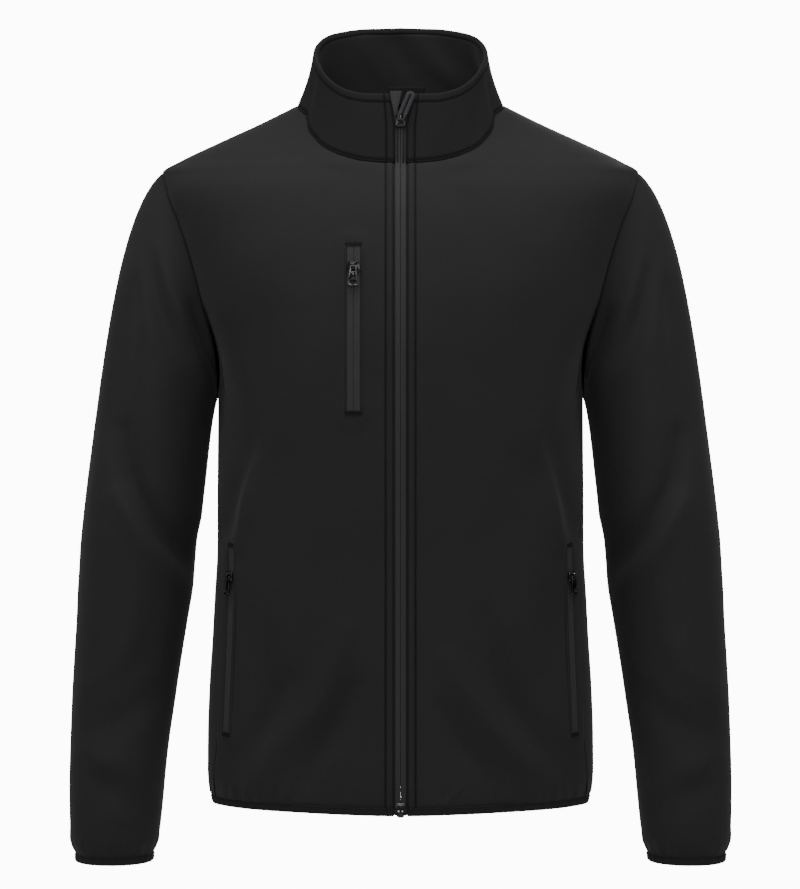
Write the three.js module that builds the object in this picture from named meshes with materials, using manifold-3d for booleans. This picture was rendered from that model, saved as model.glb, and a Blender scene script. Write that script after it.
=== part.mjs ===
// A softshell jacket, worn shape with no wearer: hollow body, two sleeves, stand-up collar and a full zip.
// Millimetres, +Z up, the front faces -Y, +X is the wearer's left. The origin lies midway between the two
// points where the shoulder seams meet the collar.
import * as THREE from "three";
import Module from "manifold-3d";

const wasm = await Module();
wasm.setup();

// Driving dimensions
const CLOTH = 1.6;
const SEAM = 0.3;
const FRONT_EDGE = 6.2; // half the strip of zip that shows between the fronts
const HEM_BAND = 8.4;
const CUFF_BAND = 8.6;
const SHOULDER_SEAM_TURN = 84; // degrees round from the centre front, where the seam meets the collar
const SHOULDER_TIP_Z = -67;
const UNDERARM_Z = -285;
const ARMHOLE_MIDDLE_Y = 5;
const ARMHOLE_HALF_DEPTH = 51;
const CAP_END_Z = -400; // the sleeve is cut by level sections below this height
const CUFF_SEAM_Z = -719.4;
const RIM_SPREAD = { right: 10.8, left: 13 }; // the open zip's edges at the collar's rim

// Segments along the seams, the same on both sides of each seam
const SIDE_STEPS = 11;
const ARMHOLE_STEPS = 10;
const NECK_STEPS = 7;
const SHOULDER_STEPS = 7;
const HEM_RISES = [0, 3.5, 8, 14];
const CUFF_RISES = [0, 3.5, 8];
const CAP_STEPS = 9;
const SLEEVE_STEPS = 18;

// Level sections of the body: half width, foremost and rearmost y, y of the widest point, roundness
const bodySections = [
  { z: 30, half: 36, front: -20, back: 46, side: 12, power: 2.1 },
  { z: 18, half: 61.5, front: -26, back: 57, side: 9, power: 2.1 },
  { z: 0, half: 95.8, front: -33, back: 72, side: 6, power: 2.2 },
  { z: -20, half: 135.8, front: -43, back: 84, side: 5, power: 2.2 },
  { z: -40, half: 179.3, front: -57, back: 94, side: 5, power: 2.2 },
  { z: -57, half: 214.5, front: -74, back: 101, side: 5, power: 2.2 },
  { z: -68, half: 231, front: -88, back: 105, side: 5, power: 2.25 },
  { z: -90, half: 229, front: -105, back: 112, side: 5, power: 2.35 },
  { z: -120, half: 219, front: -119, back: 121, side: 5, power: 2.4 },
  { z: -160, half: 206, front: -130, back: 130, side: 5, power: 2.45 },
  { z: -200, half: 194, front: -136, back: 135, side: 5, power: 2.5 },
  { z: -245, half: 181, front: -139, back: 136, side: 5, power: 2.5 },
  { z: -285, half: 177, front: -139, back: 133, side: 5, power: 2.5 },
  { z: -350, half: 177, front: -137, back: 125, side: 3, power: 2.5 },
  { z: -425, half: 177, front: -133, back: 119, side: 1, power: 2.45 },
  { z: -482, half: 179.9, front: -130, back: 119, side: 0, power: 2.4 },
  { z: -521, half: 182, front: -128, back: 121, side: 0, power: 2.4 },
  { z: -560, half: 184.6, front: -127, back: 124, side: 0, power: 2.35 },
  { z: -610, half: 186.4, front: -126, back: 127, side: 0, power: 2.35 },
  { z: -645, half: 186.6, front: -125.5, back: 128, side: 0, power: 2.35 },
  { z: -660, half: 184.6, front: -124.5, back: 127, side: 0, power: 2.35 },
  { z: -680, half: 180.5, front: -123, back: 124, side: 0, power: 2.35 },
];

// Height of the neckline, hem and side seam by turn from the centre front, in degrees
const neckline = [
  { turn: 0, z: -68 },
  { turn: 6.2, z: -65 },
  { turn: 11.8, z: -59.6 },
  { turn: 18.7, z: -50 },
  { turn: 26.7, z: -37 },
  { turn: 45.9, z: -14 },
  { turn: 90, z: 0.5 },
  { turn: 113, z: 7 },
  { turn: 130, z: 12.6 },
  { turn: 154.7, z: 16.8 },
  { turn: 180, z: 18 },
];
const hemline = [
  { turn: 0, z: -675 },
  { turn: 35, z: -673 },
  { turn: 60, z: -673.5 },
  { turn: 90, z: -676 },
  { turn: 120, z: -676.5 },
  { turn: 180, z: -678 },
];
const sideSeam = [
  { z: -285, turn: 90 },
  { z: -330, turn: 84 },
  { z: -400, turn: 76 },
  { z: -515, turn: 67.5 },
  { z: -600, turn: 67 },
  { z: -640, turn: 70 },
  { z: -670, turn: 73 },
];

// Level sections of the wearer's right sleeve below the cap
const sleeveSections = [
  { z: -400, x: -249.4, half: 57, y: -3, depth: 71 },
  { z: -424, x: -253, half: 55.8, y: -5, depth: 69 },
  { z: -462, x: -255.4, half: 55.6, y: -8, depth: 66 },
  { z: -500, x: -258.8, half: 53.4, y: -13, depth: 62 },
  { z: -539, x: -262.6, half: 51.3, y: -19, depth: 58.5 },
  { z: -577, x: -265.9, half: 49.4, y: -25, depth: 55 },
  { z: -615, x: -268.9, half: 47.2, y: -30, depth: 51.5 },
  { z: -653, x: -271, half: 45.6, y: -34, depth: 48.5 },
  { z: -691, x: -272.4, half: 43.4, y: -37, depth: 45.5 },
  { z: -706, x: -272.9, half: 41.8, y: -38, depth: 43.5 },
  { z: -719, x: -273.1, half: 37.4, y: -38.5, depth: 39 },
  { z: -740, x: -273.4, half: 36.2, y: -39, depth: 38 },
];
const SLEEVE_POWER = 2.1;

// The way a sleeve leaves the armhole at its top, front, underside and back
const capStart = {
  top: new THREE.Vector3(-0.776, 0, -0.632),
  front: new THREE.Vector3(-0.62, -0.35, -0.7),
  under: new THREE.Vector3(-0.36, 0, -0.93),
  back: new THREE.Vector3(-0.62, 0.35, -0.7),
};
const capEnd = new THREE.Vector3(-0.12, 0, -0.98);
const CAP_START_PULL = 0.53;

// Folds of the body seen from the front or the back: a line from one point to the next, its half width
// and how far the cloth stands out (or sinks in) along it
const bodyFolds = [
  { face: "front", x0: -56, z0: -505, x1: -142, z1: -650, width: 17, lift: 4.5 },
  { face: "front", x0: -112, z0: -545, x1: -150, z1: -632, width: 15, lift: -3.6 },
  { face: "front", x0: -42, z0: -560, x1: -76, z1: -632, width: 15, lift: -3.4 },
  { face: "front", x0: 46, z0: -530, x1: 144, z1: -652, width: 17, lift: 4.5 },
  { face: "front", x0: 80, z0: -492, x1: 152, z1: -640, width: 16, lift: -3.8 },
  { face: "front", x0: -152, z0: -426, x1: -126, z1: -320, width: 13, lift: 3 },
  { face: "front", x0: 152, z0: -426, x1: 126, z1: -318, width: 13, lift: 3 },
  { face: "front", x0: -190, z0: -215, x1: -150, z1: -330, width: 20, lift: -3.5 },
  { face: "front", x0: 190, z0: -215, x1: 150, z1: -330, width: 20, lift: -3.5 },
  { face: "back", x0: -60, z0: -380, x1: -130, z1: -330, width: 18, lift: -3.5 },
  { face: "back", x0: 64, z0: -392, x1: 132, z1: -336, width: 18, lift: -3.5 },
  { face: "back", x0: -104, z0: -560, x1: -66, z1: -440, width: 20, lift: 4 },
  { face: "back", x0: 100, z0: -575, x1: 62, z1: -430, width: 20, lift: 4 },
  { face: "back", x0: -170, z0: -205, x1: -110, z1: -270, width: 18, lift: -4 },
  { face: "back", x0: 170, z0: -200, x1: 112, z1: -262, width: 18, lift: -4 },
  { face: "back", x0: -30, z0: -655, x1: -52, z1: -590, width: 16, lift: 3 },
  { face: "back", x0: 34, z0: -655, x1: 62, z1: -585, width: 16, lift: 3 },
];

// Folds of the wearer's right sleeve; the other sleeve mirrors them
const sleeveFolds = [
  { face: "front", x0: -230, z0: -145, x1: -186, z1: -262, width: 13, lift: 4 },
  { face: "front", x0: -238, z0: -150, x1: -208, z1: -248, width: 12, lift: -3.5 },
  { face: "front", x0: -262, z0: -186, x1: -266, z1: -330, width: 17, lift: -4 },
  { face: "front", x0: -268, z0: -322, x1: -210, z1: -436, width: 14, lift: -6 },
  { face: "front", x0: -262, z0: -372, x1: -216, z1: -462, width: 13, lift: 4.5 },
  { face: "front", x0: -228, z0: -560, x1: -290, z1: -600, width: 15, lift: -2.6 },
  { face: "front", x0: -296, z0: -640, x1: -244, z1: -668, width: 13, lift: -2.2 },
  { face: "back", x0: -290, z0: -398, x1: -205, z1: -384, width: 14, lift: -6 },
  { face: "back", x0: -296, z0: -436, x1: -216, z1: -452, width: 15, lift: -5 },
  { face: "back", x0: -296, z0: -480, x1: -224, z1: -470, width: 15, lift: 4 },
  { face: "back", x0: -222, z0: -160, x1: -206, z1: -300, width: 15, lift: -3.5 },
  { face: "back", x0: -262, z0: -580, x1: -236, z1: -640, width: 15, lift: -2.6 },
];

// Gathers above the hem band on each front, from the zip to the side seam: where along the hem,
// how far each stands out and how high it runs
const frontGathers = [
  { at: 0.04, crest: 0.6, rise: 8 },
  { at: 0.1, crest: 1.5, rise: 14 },
  { at: 0.175, crest: 1.9, rise: 13 },
  { at: 0.235, crest: 2, rise: 16 },
  { at: 0.31, crest: 1, rise: 11 },
  { at: 0.375, crest: 1.3, rise: 14 },
  { at: 0.44, crest: 1.7, rise: 15 },
  { at: 0.51, crest: 2.2, rise: 15 },
  { at: 0.575, crest: 2.6, rise: 19 },
  { at: 0.64, crest: 2, rise: 16 },
  { at: 0.705, crest: 2.4, rise: 18 },
  { at: 0.77, crest: 1.7, rise: 14 },
  { at: 0.835, crest: 2.1, rise: 16 },
  { at: 0.9, crest: 1.2, rise: 12 },
];
// Gathers across the back, and round the cuff from the outer side
const BACK_GATHERS = 28;
const CUFF_GATHERS = 20;

const cloth = { color: 0x232326, roughness: 0.86, metalness: 0 };
const finishes = {
  shell: cloth,
  collarLining: { color: 0x29292c, roughness: 0.9, metalness: 0 },
  binding: { color: 0x1a1a1c, roughness: 0.92, metalness: 0 },
  tape: { color: 0x38383b, roughness: 0.8, metalness: 0 },
  slider: { color: 0x0c0c0d, roughness: 0.25, metalness: 0.7 },
  pull: { color: 0x303033, roughness: 0.6, metalness: 0 },
  moulded: { color: 0x0a0a0b, roughness: 0.3, metalness: 0 },
  label: { color: 0x0d0d0e, roughness: 0.7, metalness: 0 },
};

const jacket = new THREE.Group();
jacket.userData.hinges = {}; // each pull tab's hinge: a point on its cross bar and the bar's direction

function addPiece(name, geometry, finish) {
  const mesh = new THREE.Mesh(geometry, new THREE.MeshStandardMaterial(finishes[finish]));
  mesh.name = name;
  jacket.add(mesh);
}

const radians = (degrees) => (degrees * Math.PI) / 180;
const mix = (a, b, t) => a + (b - a) * t;

// A smooth value between the rows of a table, with no overshoot
function tableValue(rows, key, value, at) {
  const rising = rows[rows.length - 1][key] > rows[0][key];
  const inOrder = rising ? rows : [...rows].reverse();
  const last = inOrder.length - 1;
  const x = Math.min(Math.max(at, inOrder[0][key]), inOrder[last][key]);
  let i = 0;
  while (i < last - 1 && x > inOrder[i + 1][key]) i++;
  const step = (k) => inOrder[k + 1][key] - inOrder[k][key];
  const slope = (k) => (inOrder[k + 1][value] - inOrder[k][value]) / step(k);
  const tangent = (k) => {
    if (k === 0) return slope(0);
    if (k === last) return slope(last - 1);
    const before = slope(k - 1);
    const after = slope(k);
    return before * after > 0 ? (2 * before * after) / (before + after) : 0;
  };
  const t = (x - inOrder[i][key]) / step(i);
  const h = hermiteWeights(t);
  return (
    h.start * inOrder[i][value] +
    h.end * inOrder[i + 1][value] +
    step(i) * (h.leave * tangent(i) + h.arrive * tangent(i + 1))
  );
}

function hermiteWeights(t) {
  return {
    start: 2 * t ** 3 - 3 * t ** 2 + 1,
    leave: t ** 3 - 2 * t ** 2 + t,
    end: -2 * t ** 3 + 3 * t ** 2,
    arrive: t ** 3 - t ** 2,
  };
}

const signedPower = (value, power) => Math.sign(value) * Math.abs(value) ** power;

// The plain body: a point by its turn from the centre front (positive to the wearer's left) and height
function bodySection(z) {
  const value = (name) => tableValue(bodySections, "z", name, z);
  return {
    half: value("half"),
    front: value("front"),
    back: value("back"),
    side: value("side"),
    power: value("power"),
  };
}

function bodyPoint(turn, z) {
  const s = bodySection(z);
  const across = signedPower(Math.sin(radians(turn)), 2 / s.power);
  const along = signedPower(Math.cos(radians(turn)), 2 / s.power);
  const depth = along > 0 ? s.side - s.front : s.back - s.side;
  return new THREE.Vector3(s.half * across, s.side - depth * along, z);
}

const turnAtX = (x, z) => {
  const s = bodySection(z);
  const ratio = Math.min(Math.abs(x) / s.half, 1);
  return (Math.sign(x) * (Math.asin(ratio ** (s.power / 2)) * 180)) / Math.PI;
};

function bodyNormal(turn, z) {
  const round = bodyPoint(turn + 0.5, z).sub(bodyPoint(turn - 0.5, z));
  const up = bodyPoint(turn, z + 1).sub(bodyPoint(turn, z - 1));
  return round.cross(up).normalize();
}

// How far a fold lifts the cloth at a point seen from the front or the back
function foldLift(folds, face, x, z) {
  let lift = 0;
  for (const fold of folds) {
    if (fold.face !== face) continue;
    const dx = fold.x1 - fold.x0;
    const dz = fold.z1 - fold.z0;
    const along = ((x - fold.x0) * dx + (z - fold.z0) * dz) / (dx * dx + dz * dz);
    const inside = Math.min(Math.max(along, 0), 1);
    const away = Math.hypot(x - fold.x0 - inside * dx, z - fold.z0 - inside * dz) / (2 * fold.width);
    if (away < 1) lift += fold.lift * Math.cos((away * Math.PI) / 2) ** 2 * (0.55 + 0.45 * Math.sin(inside * Math.PI));
  }
  return lift;
}

function bodyVertex(turn, z, extra = 0) {
  const base = bodyPoint(turn, z);
  const face = Math.abs(turn) < 90 ? "front" : "back";
  const fade = Math.min(1, Math.abs(Math.abs(turn) - 90) / 12);
  const nearZip = Math.min(1, Math.max(0, (Math.abs(base.x) - FRONT_EDGE) / 20));
  const calm = face === "front" ? nearZip : 1;
  const lift = foldLift(bodyFolds, face, base.x, z) * fade * calm + extra;
  return { base, normal: bodyNormal(turn, z), lift };
}

// Moves along an edge at an even pace
function evenly(edge, pointAt) {
  const SAMPLES = 80;
  const places = [0];
  let before = pointAt(edge(0));
  for (let i = 1; i <= SAMPLES; i++) {
    const here = pointAt(edge(i / SAMPLES));
    places.push(places[i - 1] + here.distanceTo(before));
    before = here;
  }
  return (fraction) => {
    const target = fraction * places[SAMPLES];
    let i = 0;
    while (i < SAMPLES - 1 && places[i + 1] < target) i++;
    return edge((i + (target - places[i]) / (places[i + 1] - places[i])) / SAMPLES);
  };
}

const onBody = (place) => bodyPoint(place.turn, place.z);
const SIDE_SHARE = SIDE_STEPS / (SIDE_STEPS + ARMHOLE_STEPS);
const NECK_SHARE = NECK_STEPS / (NECK_STEPS + SHOULDER_STEPS);

// The seams of one side of the body, as places on the plain body (turn always positive)
const neckHeight = (turn) => tableValue(neckline, "turn", "z", turn);
const hemHeight = (turn) => tableValue(hemline, "turn", "z", Math.abs(turn)) + HEM_BAND;
const neckCornerZ = neckHeight(SHOULDER_SEAM_TURN);
const frontNeck = evenly((t) => {
  const start = turnAtX(FRONT_EDGE, neckline[0].z);
  const turn = mix(start, SHOULDER_SEAM_TURN, t);
  return { turn, z: neckHeight(turn) };
}, onBody);
const backNeck = evenly((t) => {
  const turn = mix(180, SHOULDER_SEAM_TURN, t);
  return { turn, z: neckHeight(turn) };
}, onBody);
const shoulder = evenly((t) => {
  return { turn: mix(SHOULDER_SEAM_TURN, 90, t), z: mix(neckCornerZ, SHOULDER_TIP_Z, t) };
}, onBody);
const sideEdge = evenly((t) => {
  const z = mix(hemHeight(sideSeam[sideSeam.length - 1].turn), UNDERARM_Z, t);
  return { turn: tableValue(sideSeam, "z", "turn", z), z };
}, onBody);

// The armhole from its top, round the front (or the back) to the underarm
function armholePlace(t, face) {
  const angle = t * Math.PI;
  const z = (SHOULDER_TIP_Z + UNDERARM_Z) / 2 + ((SHOULDER_TIP_Z - UNDERARM_Z) / 2) * Math.cos(angle);
  const s = bodySection(z);
  const out = ARMHOLE_HALF_DEPTH * Math.sin(angle);
  const depth = face === "front" ? s.side - s.front : s.back - s.side;
  const middle = face === "front" ? s.side - ARMHOLE_MIDDLE_Y : ARMHOLE_MIDDLE_Y - s.side;
  const along = Math.max(0, (out + middle) / depth) ** (s.power / 2);
  const away = (Math.acos(Math.min(1, along)) * 180) / Math.PI;
  return { turn: face === "front" ? away : 180 - away, z };
}
const armhole = {
  front: evenly((t) => armholePlace(t, "front"), onBody),
  back: evenly((t) => armholePlace(t, "back"), onBody),
};

// The outer edge of a panel: the side seam, then the armhole up to the shoulder
function panelSide(v, face) {
  if (v <= SIDE_SHARE) return sideEdge(v / SIDE_SHARE);
  return armhole[face](1 - (v - SIDE_SHARE) / (1 - SIDE_SHARE));
}
function panelTop(u, face) {
  const neck = face === "front" ? frontNeck : backNeck;
  if (u <= NECK_SHARE) return neck(u / NECK_SHARE);
  return shoulder((u - NECK_SHARE) / (1 - NECK_SHARE));
}
function panelMiddle(v, face) {
  if (face === "back") return { turn: 180, z: mix(hemHeight(180), neckHeight(180), v) };
  const z = mix(hemHeight(0), neckline[0].z, v);
  return { turn: turnAtX(FRONT_EDGE, z), z };
}
function panelHem(u, face) {
  const side = sideSeam[sideSeam.length - 1].turn;
  const middle = panelMiddle(0, face).turn;
  const turn = mix(middle, side, u);
  return { turn, z: hemHeight(turn) };
}

// A place inside a half panel, blended from its four edges
function panelPlace(u, v, face) {
  const hem = panelHem(u, face);
  const top = panelTop(u, face);
  const inner = panelMiddle(v, face);
  const outer = panelSide(v, face);
  const corners = [panelHem(0, face), panelHem(1, face), panelTop(0, face), panelTop(1, face)];
  const blend = (key) =>
    (1 - v) * hem[key] +
    v * top[key] +
    (1 - u) * inner[key] +
    u * outer[key] -
    (1 - v) * ((1 - u) * corners[0][key] + u * corners[1][key]) -
    v * ((1 - u) * corners[2][key] + u * corners[3][key]);
  return { turn: blend("turn"), z: blend("z") };
}

const PANEL_WIDTH = 290;
const PANEL_HEIGHT = 600;
const insideU = (u) => mix(SEAM / 2 / PANEL_WIDTH, 1 - SEAM / 2 / PANEL_WIDTH, u);
const insideV = (v) => mix(SEAM / 2 / PANEL_HEIGHT, 1 - SEAM / 2 / PANEL_HEIGHT, v);

// Positions across the hem rows: a valley before each gather, then its crest
function gatherColumns(gathers) {
  const columns = [0];
  gathers.forEach((gather, i) => {
    if (i > 0) columns.push((gathers[i - 1].at + gather.at) / 2);
    columns.push(gather.at);
  });
  columns.push(1);
  return columns;
}
const gatherProfile = (rise, reach) => {
  const h = rise / reach;
  return h >= 1.6 ? 0 : Math.sin(Math.min(h * 3.2, 1) * (Math.PI / 2)) * Math.cos((h / 1.6) * (Math.PI / 2));
};

// Rows of wall vertices, from the hem up, for a half panel on the wearer's left (mirrored for the right)
function halfPanelRows(face, gathers) {
  const columns = gatherColumns(gathers);
  const count = NECK_STEPS + SHOULDER_STEPS;
  const rows = HEM_RISES.map((rise) =>
    columns.map((at, i) => {
      const v = insideV(rise / PANEL_HEIGHT);
      const place = panelPlace(insideU(at), v, face);
      const gather = gathers[(i - 1) / 2];
      const wave = i % 2 === 1 && gather ? gather.crest * gatherProfile(rise, gather.rise) : 0;
      return bodyVertex(place.turn, place.z, wave);
    }),
  );
  const steps = SIDE_STEPS + ARMHOLE_STEPS;
  for (let k = 1; k <= steps; k++) {
    rows.push(
      Array.from({ length: count + 1 }, (_, i) => {
        const place = panelPlace(insideU(i / count), insideV(k / steps), face);
        return bodyVertex(place.turn, place.z);
      }),
    );
  }
  return rows;
}

function mirrored(vertex) {
  const flip = (p) => new THREE.Vector3(-p.x, p.y, p.z);
  return { base: flip(vertex.base), normal: flip(vertex.normal), lift: vertex.lift };
}

// Gathers that differ from one another by a fixed rule, for the stretches with no table
function unevenGathers(count, least, most) {
  return Array.from({ length: count }, (_, i) => {
    const swing = 0.5 + 0.5 * Math.sin(i * 2.4 + 0.9) * Math.cos(i * 1.1);
    return {
      at: (i + 0.7 + 0.25 * Math.sin(i * 1.7)) / (count + 0.4),
      crest: mix(least, most, swing),
      rise: mix(10, 19, swing),
    };
  });
}

// A wall between an outer surface given by rows and the same surface moved in by the thickness.
// A row may have as many vertices as the next one, or another number; closed rows join end to end.
function wallGeometry(rows, thickness, closed = false) {
  const positions = [];
  const starts = [];
  rows.forEach((row) => {
    starts.push(positions.length / 3);
    row.forEach((v) => positions.push(...v.base.clone().addScaledVector(v.normal, v.lift).toArray()));
  });
  const innerShift = positions.length / 3;
  rows.forEach((row) => {
    row.forEach((v) =>
      positions.push(...v.base.clone().addScaledVector(v.normal, v.lift - thickness).toArray()),
    );
  });
  const index = [];
  const both = (a, b, c) => {
    index.push(a, b, c);
    index.push(a + innerShift, c + innerShift, b + innerShift);
  };
  for (let r = 0; r < rows.length - 1; r++) {
    stitchRows(starts[r], rows[r].length, starts[r + 1], rows[r + 1].length, closed, both);
  }
  const rim = (a, b) => index.push(a, a + innerShift, b, b, a + innerShift, b + innerShift);
  const rimRow = (start, length, forwards) => {
    const edges = closed ? length : length - 1;
    for (let i = 0; i < edges; i++) {
      const a = start + i;
      const b = start + ((i + 1) % length);
      if (forwards) rim(a, b);
      else rim(b, a);
    }
  };
  rimRow(starts[0], rows[0].length, true);
  const top = rows.length - 1;
  rimRow(starts[top], rows[top].length, false);
  if (!closed) {
    for (let r = 0; r < top; r++) {
      rim(starts[r + 1], starts[r]);
      rim(starts[r] + rows[r].length - 1, starts[r + 1] + rows[r + 1].length - 1);
    }
  }
  const geometry = new THREE.BufferGeometry();
  geometry.setAttribute("position", new THREE.Float32BufferAttribute(positions, 3));
  geometry.setIndex(index);
  return facingOut(geometry);
}

// Triangles between two rows of vertices, which may differ in number
function stitchRows(low, lowCount, high, highCount, closed, triangle) {
  const lowEdges = closed ? lowCount : lowCount - 1;
  const highEdges = closed ? highCount : highCount - 1;
  let i = 0;
  let j = 0;
  const lowAt = (k) => low + (k % lowCount);
  const highAt = (k) => high + (k % highCount);
  while (i < lowEdges || j < highEdges) {
    const lowNext = (i + 1) / lowEdges;
    const highNext = (j + 1) / highEdges;
    if (j >= highEdges || (i < lowEdges && lowNext <= highNext + 1e-9)) {
      triangle(lowAt(i), lowAt(i + 1), highAt(j));
      i++;
    } else {
      triangle(lowAt(i), highAt(j + 1), highAt(j));
      j++;
    }
  }
}

// Fronts and back
const frontRows = halfPanelRows("front", frontGathers);
const backGatherRow = unevenGathers(BACK_GATHERS / 2, 1, 2.4);
const backHalf = halfPanelRows("back", backGatherRow);

function makeFronts() {
  const left = frontRows;
  const right = frontRows.map((row) => row.map(mirrored).reverse());
  addPiece("front_left", wallGeometry(left, CLOTH), "shell");
  addPiece("front_right", wallGeometry(right, CLOTH), "shell");
}

function makeBack() {
  const rows = backHalf.map((row) => {
    const leftSide = [...row].reverse();
    leftSide.pop();
    const middle = { ...row[0] };
    middle.base = middle.base.clone();
    middle.base.x = 0;
    return [...leftSide, middle, ...row.slice(1).map(mirrored)];
  });
  addPiece("back", wallGeometry(rows, CLOTH), "shell");
}

// Band along the hem, one strip from zip to zip
function makeHemBand() {
  const places = [];
  const frontColumns = gatherColumns(frontGathers);
  const backColumns = gatherColumns(backGatherRow);
  frontColumns.forEach((at) => places.push(panelHem(insideU(at), "front")));
  backColumns
    .slice(0, -1)
    .reverse()
    .forEach((at) => places.push(panelHem(at, "back")));
  const half = places.map((place) => ({ turn: place.turn, z: place.z - SEAM }));
  const stations = [
    ...half,
    ...half.slice(0, -1).reverse().map((place) => ({ turn: -place.turn, z: place.z })),
  ];
  const row = (drop) =>
    stations.map((place) => {
      const z = place.z - drop;
      return { base: bodyPoint(place.turn, z), normal: bodyNormal(place.turn, z), lift: 0.5 };
    });
  addPiece("hem_band", wallGeometry([row(HEM_BAND - SEAM), row(0)], CLOTH + 1), "binding");
}

// Sleeves
function sleeveSectionPoint(angle, z) {
  const value = (name) => tableValue(sleeveSections, "z", name, z);
  const across = signedPower(Math.cos(angle), 2 / SLEEVE_POWER);
  const along = signedPower(Math.sin(angle), 2 / SLEEVE_POWER);
  return new THREE.Vector3(value("x") - value("half") * across, value("y") - value("depth") * along, z);
}

// The wearer's right armhole: angle 0 at the top, a quarter turn at the front, half a turn underneath
function armholePoint(angle) {
  const full = (angle / Math.PI + 2) % 2;
  const face = full <= 1 ? "front" : "back";
  const place = armhole[face](full <= 1 ? full : 2 - full);
  const point = bodyPoint(-place.turn, place.z);
  const outward = bodyNormal(-place.turn, place.z);
  const under = Math.max(0, -Math.cos(angle)) ** 2;
  const away = capDirection(angle).multiplyScalar(1 - under).addScaledVector(outward, under * 1.6);
  return point.addScaledVector(away, SEAM + 0.1);
}

function capDirection(angle) {
  const up = Math.cos(angle);
  const forward = Math.sin(angle);
  const direction = new THREE.Vector3();
  direction.addScaledVector(up > 0 ? capStart.top : capStart.under, up * up);
  direction.addScaledVector(forward > 0 ? capStart.front : capStart.back, forward * forward);
  return direction.normalize();
}

function capPoint(angle, t) {
  const start = armholePoint(angle);
  const end = sleeveSectionPoint(angle, CAP_END_Z);
  const length = start.distanceTo(end);
  const h = hermiteWeights(t);
  return new THREE.Vector3()
    .addScaledVector(start, h.start)
    .addScaledVector(end, h.end)
    .addScaledVector(capDirection(angle), h.leave * length * CAP_START_PULL)
    .addScaledVector(capEnd, h.arrive * length);
}

// along: 0 at the armhole, 1 at the end of the cap, 2 at the cuff seam
function sleevePoint(angle, along) {
  if (along <= 1) return capPoint(angle, along);
  return sleeveSectionPoint(angle, mix(CAP_END_Z, CUFF_SEAM_Z, along - 1));
}

function sleeveVertex(angle, along, extra = 0) {
  const base = sleevePoint(angle, along);
  const step = 0.02;
  const round = sleevePoint(angle + step, along).sub(sleevePoint(angle - step, along));
  const low = Math.max(0, along - step);
  const high = along <= 1 ? Math.min(1, along + step) : along + step;
  const down = sleevePoint(angle, high).sub(sleevePoint(angle, along > 1 ? Math.max(1, low) : low));
  const normal = down.cross(round).normalize();
  const face = normal.y < 0 ? "front" : "back";
  const facing = Math.min(1, Math.abs(normal.y) * 1.8);
  const nearArmhole = Math.min(1, along / 0.12);
  const nearCuff = Math.min(1, (2 - along) / 0.1);
  const lift = foldLift(sleeveFolds, face, base.x, base.z) * facing * nearArmhole * nearCuff + extra;
  return { base, normal, lift };
}

const sleeveColumns = 2 * ARMHOLE_STEPS;
// Equal steps along the armhole seam, so that the sleeve meets the body's own vertices
const sleeveAngle = (i) => (i / ARMHOLE_STEPS) * Math.PI;

function sleeveRows() {
  const rows = [];
  const ring = (along) =>
    Array.from({ length: sleeveColumns }, (_, i) => sleeveVertex(sleeveAngle(i), along));
  for (let k = 0; k <= CAP_STEPS; k++) rows.push(ring(k / CAP_STEPS));
  const length = CAP_END_Z - CUFF_SEAM_Z;
  const topOfGathers = 1 + (length - CUFF_RISES[CUFF_RISES.length - 1] - 8) / length;
  for (let k = 1; k <= SLEEVE_STEPS; k++) rows.push(ring(mix(1, topOfGathers, k / SLEEVE_STEPS)));
  const gathers = unevenGathers(CUFF_GATHERS, 0.9, 1.8);
  [...CUFF_RISES].reverse().forEach((rise) => {
    rows.push(
      Array.from({ length: 2 * CUFF_GATHERS }, (_, i) => {
        const gather = gathers[(i - 1) / 2];
        const wave = i % 2 === 1 ? gather.crest * gatherProfile(rise, gather.rise) : 0;
        return sleeveVertex((i / CUFF_GATHERS) * Math.PI, 2 - rise / length, wave);
      }),
    );
  });
  return rows;
}

function makeSleeves() {
  const right = sleeveRows().reverse();
  const turned = right.map((row) => [...row].reverse());
  const left = right.map((row) => row.map(mirrored));
  addPiece("sleeve_right", wallGeometry(turned, CLOTH, true), "shell");
  addPiece("sleeve_left", wallGeometry(left, CLOTH, true), "shell");
}

function makeCuffBands() {
  const ring = (z) =>
    Array.from({ length: 2 * CUFF_GATHERS }, (_, i) => {
      const angle = (-i / CUFF_GATHERS) * Math.PI;
      const base = sleeveSectionPoint(angle, z);
      const normal = new THREE.Vector3(-Math.cos(angle), -Math.sin(angle), 0);
      return { base, normal, lift: 0.5 };
    });
  const rows = [ring(CUFF_SEAM_Z - CUFF_BAND), ring(CUFF_SEAM_Z - SEAM)];
  addPiece("cuff_band_right", wallGeometry(rows, CLOTH + 1, true), "binding");
  const left = rows.map((row) => [...row].reverse().map(mirrored));
  addPiece("cuff_band_left", wallGeometry(left, CLOTH + 1, true), "binding");
}

// Collar: from the neckline to a sloping rim
const rim = { half: 84, middleY: -8, depth: 67.5 };
// Height of the rim by angle from the centre front, in degrees
const rimHeights = [
  { angle: 0, z: 0 },
  { angle: 22, z: 1 },
  { angle: 38, z: 6 },
  { angle: 52, z: 15.5 },
  { angle: 72, z: 34 },
  { angle: 90, z: 50 },
  { angle: 108, z: 62.5 },
  { angle: 120, z: 69.3 },
  { angle: 136, z: 75.3 },
  { angle: 155, z: 80 },
  { angle: 180, z: 82 },
];
const COLLAR_PINCH = 2.2;

function rimPoint(angle) {
  return new THREE.Vector3(
    rim.half * Math.sin(angle),
    rim.middleY - rim.depth * Math.cos(angle),
    tableValue(rimHeights, "angle", "z", (Math.abs(angle) * 180) / Math.PI),
  );
}

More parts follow.
